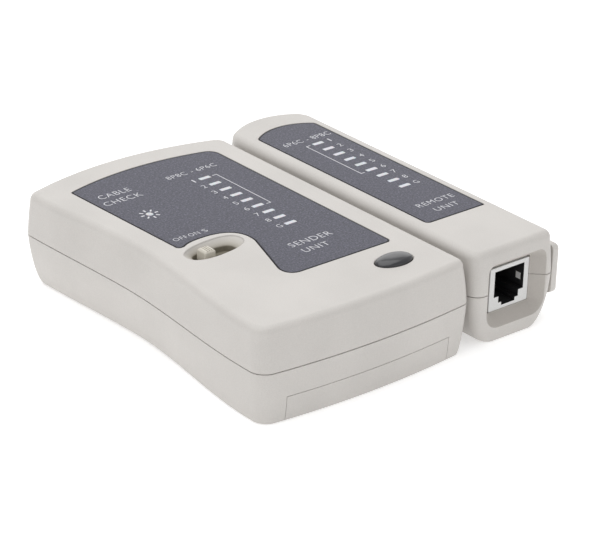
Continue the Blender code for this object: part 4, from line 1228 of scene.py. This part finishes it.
# ------------------------ the pieces
make_main_cover()
make_base(
    "main", MAIN, [("UNION", box(*BATTERY_WALL))], MAIN_SCREWS,
    [("DIFFERENCE", door_box(-DOOR_GAP))] + main_end_cuts())
make_battery_cover()
make_remote_cover()
make_base("remote", REMOTE, [], REMOTE_SCREWS, remote_end_cuts())
make_side_hook()
make_label_film("main_label_film", main_label_outline(), "main_unit", "main_face_label")
make_label_film("remote_label_film", remote_label_outline(), "remote_unit", "remote_face_label")
make_printing()
make_switch_cap()
make_button_cap()
make_screws()
for name, (jack, x) in MAIN_JACKS.items():
    make_jack(name, jack, x, MAIN_RECESS, 1, "main_unit")
make_jack("remote_jack_8p", JACK_8P, REMOTE_X, REMOTE_NEAR_RECESS, -1, "remote_unit")
make_jack("remote_jack_6p", JACK_6P, REMOTE_X, REMOTE_FAR_RECESS, 1, "remote_unit")

CARRIED_OVER = {
    "circuit_board": BOARD, "_lamp": LENS, "switch_body": STEEL, "button_switch": MATT_BLACK,
    "_chip": MATT_BLACK, "battery_snap": MATT_BLACK, "lead_red": RED_SKIN, "lead_black": BLACK_SKIN,
}
for name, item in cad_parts.items():
    for part_of_name, material in CARRIED_OVER.items():
        if part_of_name in name:
            for slot in item.material_slots:
                slot.material = material
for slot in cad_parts["battery"].material_slots:
    slot.material = JACKET


# ------------------------ stage, lights and camera
def make_floor():
    solid = bmesh.new()
    bmesh.ops.create_grid(solid, x_segments=8, y_segments=8, size=3000.0)
    bmesh.ops.translate(solid, vec=(0.0, 0.0, -0.05), verts=solid.verts)
    floor = to_object("floor", solid)
    material = new_material("floor_paper", (0.86, 0.86, 0.86), 0.9)
    shader_of(material).inputs["Emission Color"].default_value = (1.0, 1.0, 1.0, 1.0)
    shader_of(material).inputs["Emission Strength"].default_value = 0.38
    fibre = noise(material, 60.0, 3.0)
    colour_by(material, ramp(material, fibre, [(0.3, 0.855), (0.7, 0.865)]))
    floor.data.materials.append(material)


def make_light(name, place, size, power):
    """A soft rectangular light that points at the origin."""
    light = bpy.data.lights.new(name, "AREA")
    light.shape = "RECTANGLE"
    light.size, light.size_y = size
    light.energy = power
    item = bpy.data.objects.new(name, light)
    item.location = place
    item.rotation_mode = "QUATERNION"
    item.rotation_quaternion = (-Vector(place)).to_track_quat("-Z", "Y")
    bpy.context.scene.collection.objects.link(item)


def make_world(strength):
    world = bpy.data.worlds.new("studio")
    world.use_nodes = True
    background = world.node_tree.nodes["Background"]
    background.inputs["Color"].default_value = (1.0, 1.0, 1.0, 1.0)
    background.inputs["Strength"].default_value = strength
    bpy.context.scene.world = world


def make_camera():
    data = bpy.data.cameras.new("camera")
    data.sensor_width = 36.0
    data.lens = 178.51
    data.clip_start = 0.05
    data.clip_end = 20.0
    camera = bpy.data.objects.new("camera", data)
    azimuth, elevation, roll = (math.radians(a) for a in (-41.293, 25.364, 2.0))
    back = Vector((
        math.sin(azimuth) * math.cos(elevation), -math.cos(azimuth) * math.cos(elevation),
        math.sin(elevation)))
    right = (-back).cross(Vector((0, 0, 1))).normalized()
    up = right.cross(-back)
    side = right * math.cos(roll) + up * math.sin(roll)
    top = -right * math.sin(roll) + up * math.cos(roll)
    turn = Matrix((side, top, back)).transposed()
    camera.matrix_world = Matrix.Translation((-0.536298, -0.619575, 0.399478)) @ turn.to_4x4()
    bpy.context.scene.collection.objects.link(camera)
    bpy.context.scene.camera = camera


make_floor()
make_world(0.50)
make_light("overhead", (-0.1, 0.15, 1.1), (1.5, 1.5), 10.2)
make_light("left", (-1.1, -0.1, 0.5), (0.9, 0.7), 0.9)
make_light("front", (0.35, -1.25, 0.5), (1.0, 0.6), 0.9)
make_light("back", (0.75, 0.95, 0.55), (1.6, 0.8), 3.6)
make_camera()
bpy.context.scene.view_settings.view_transform = "Standard"
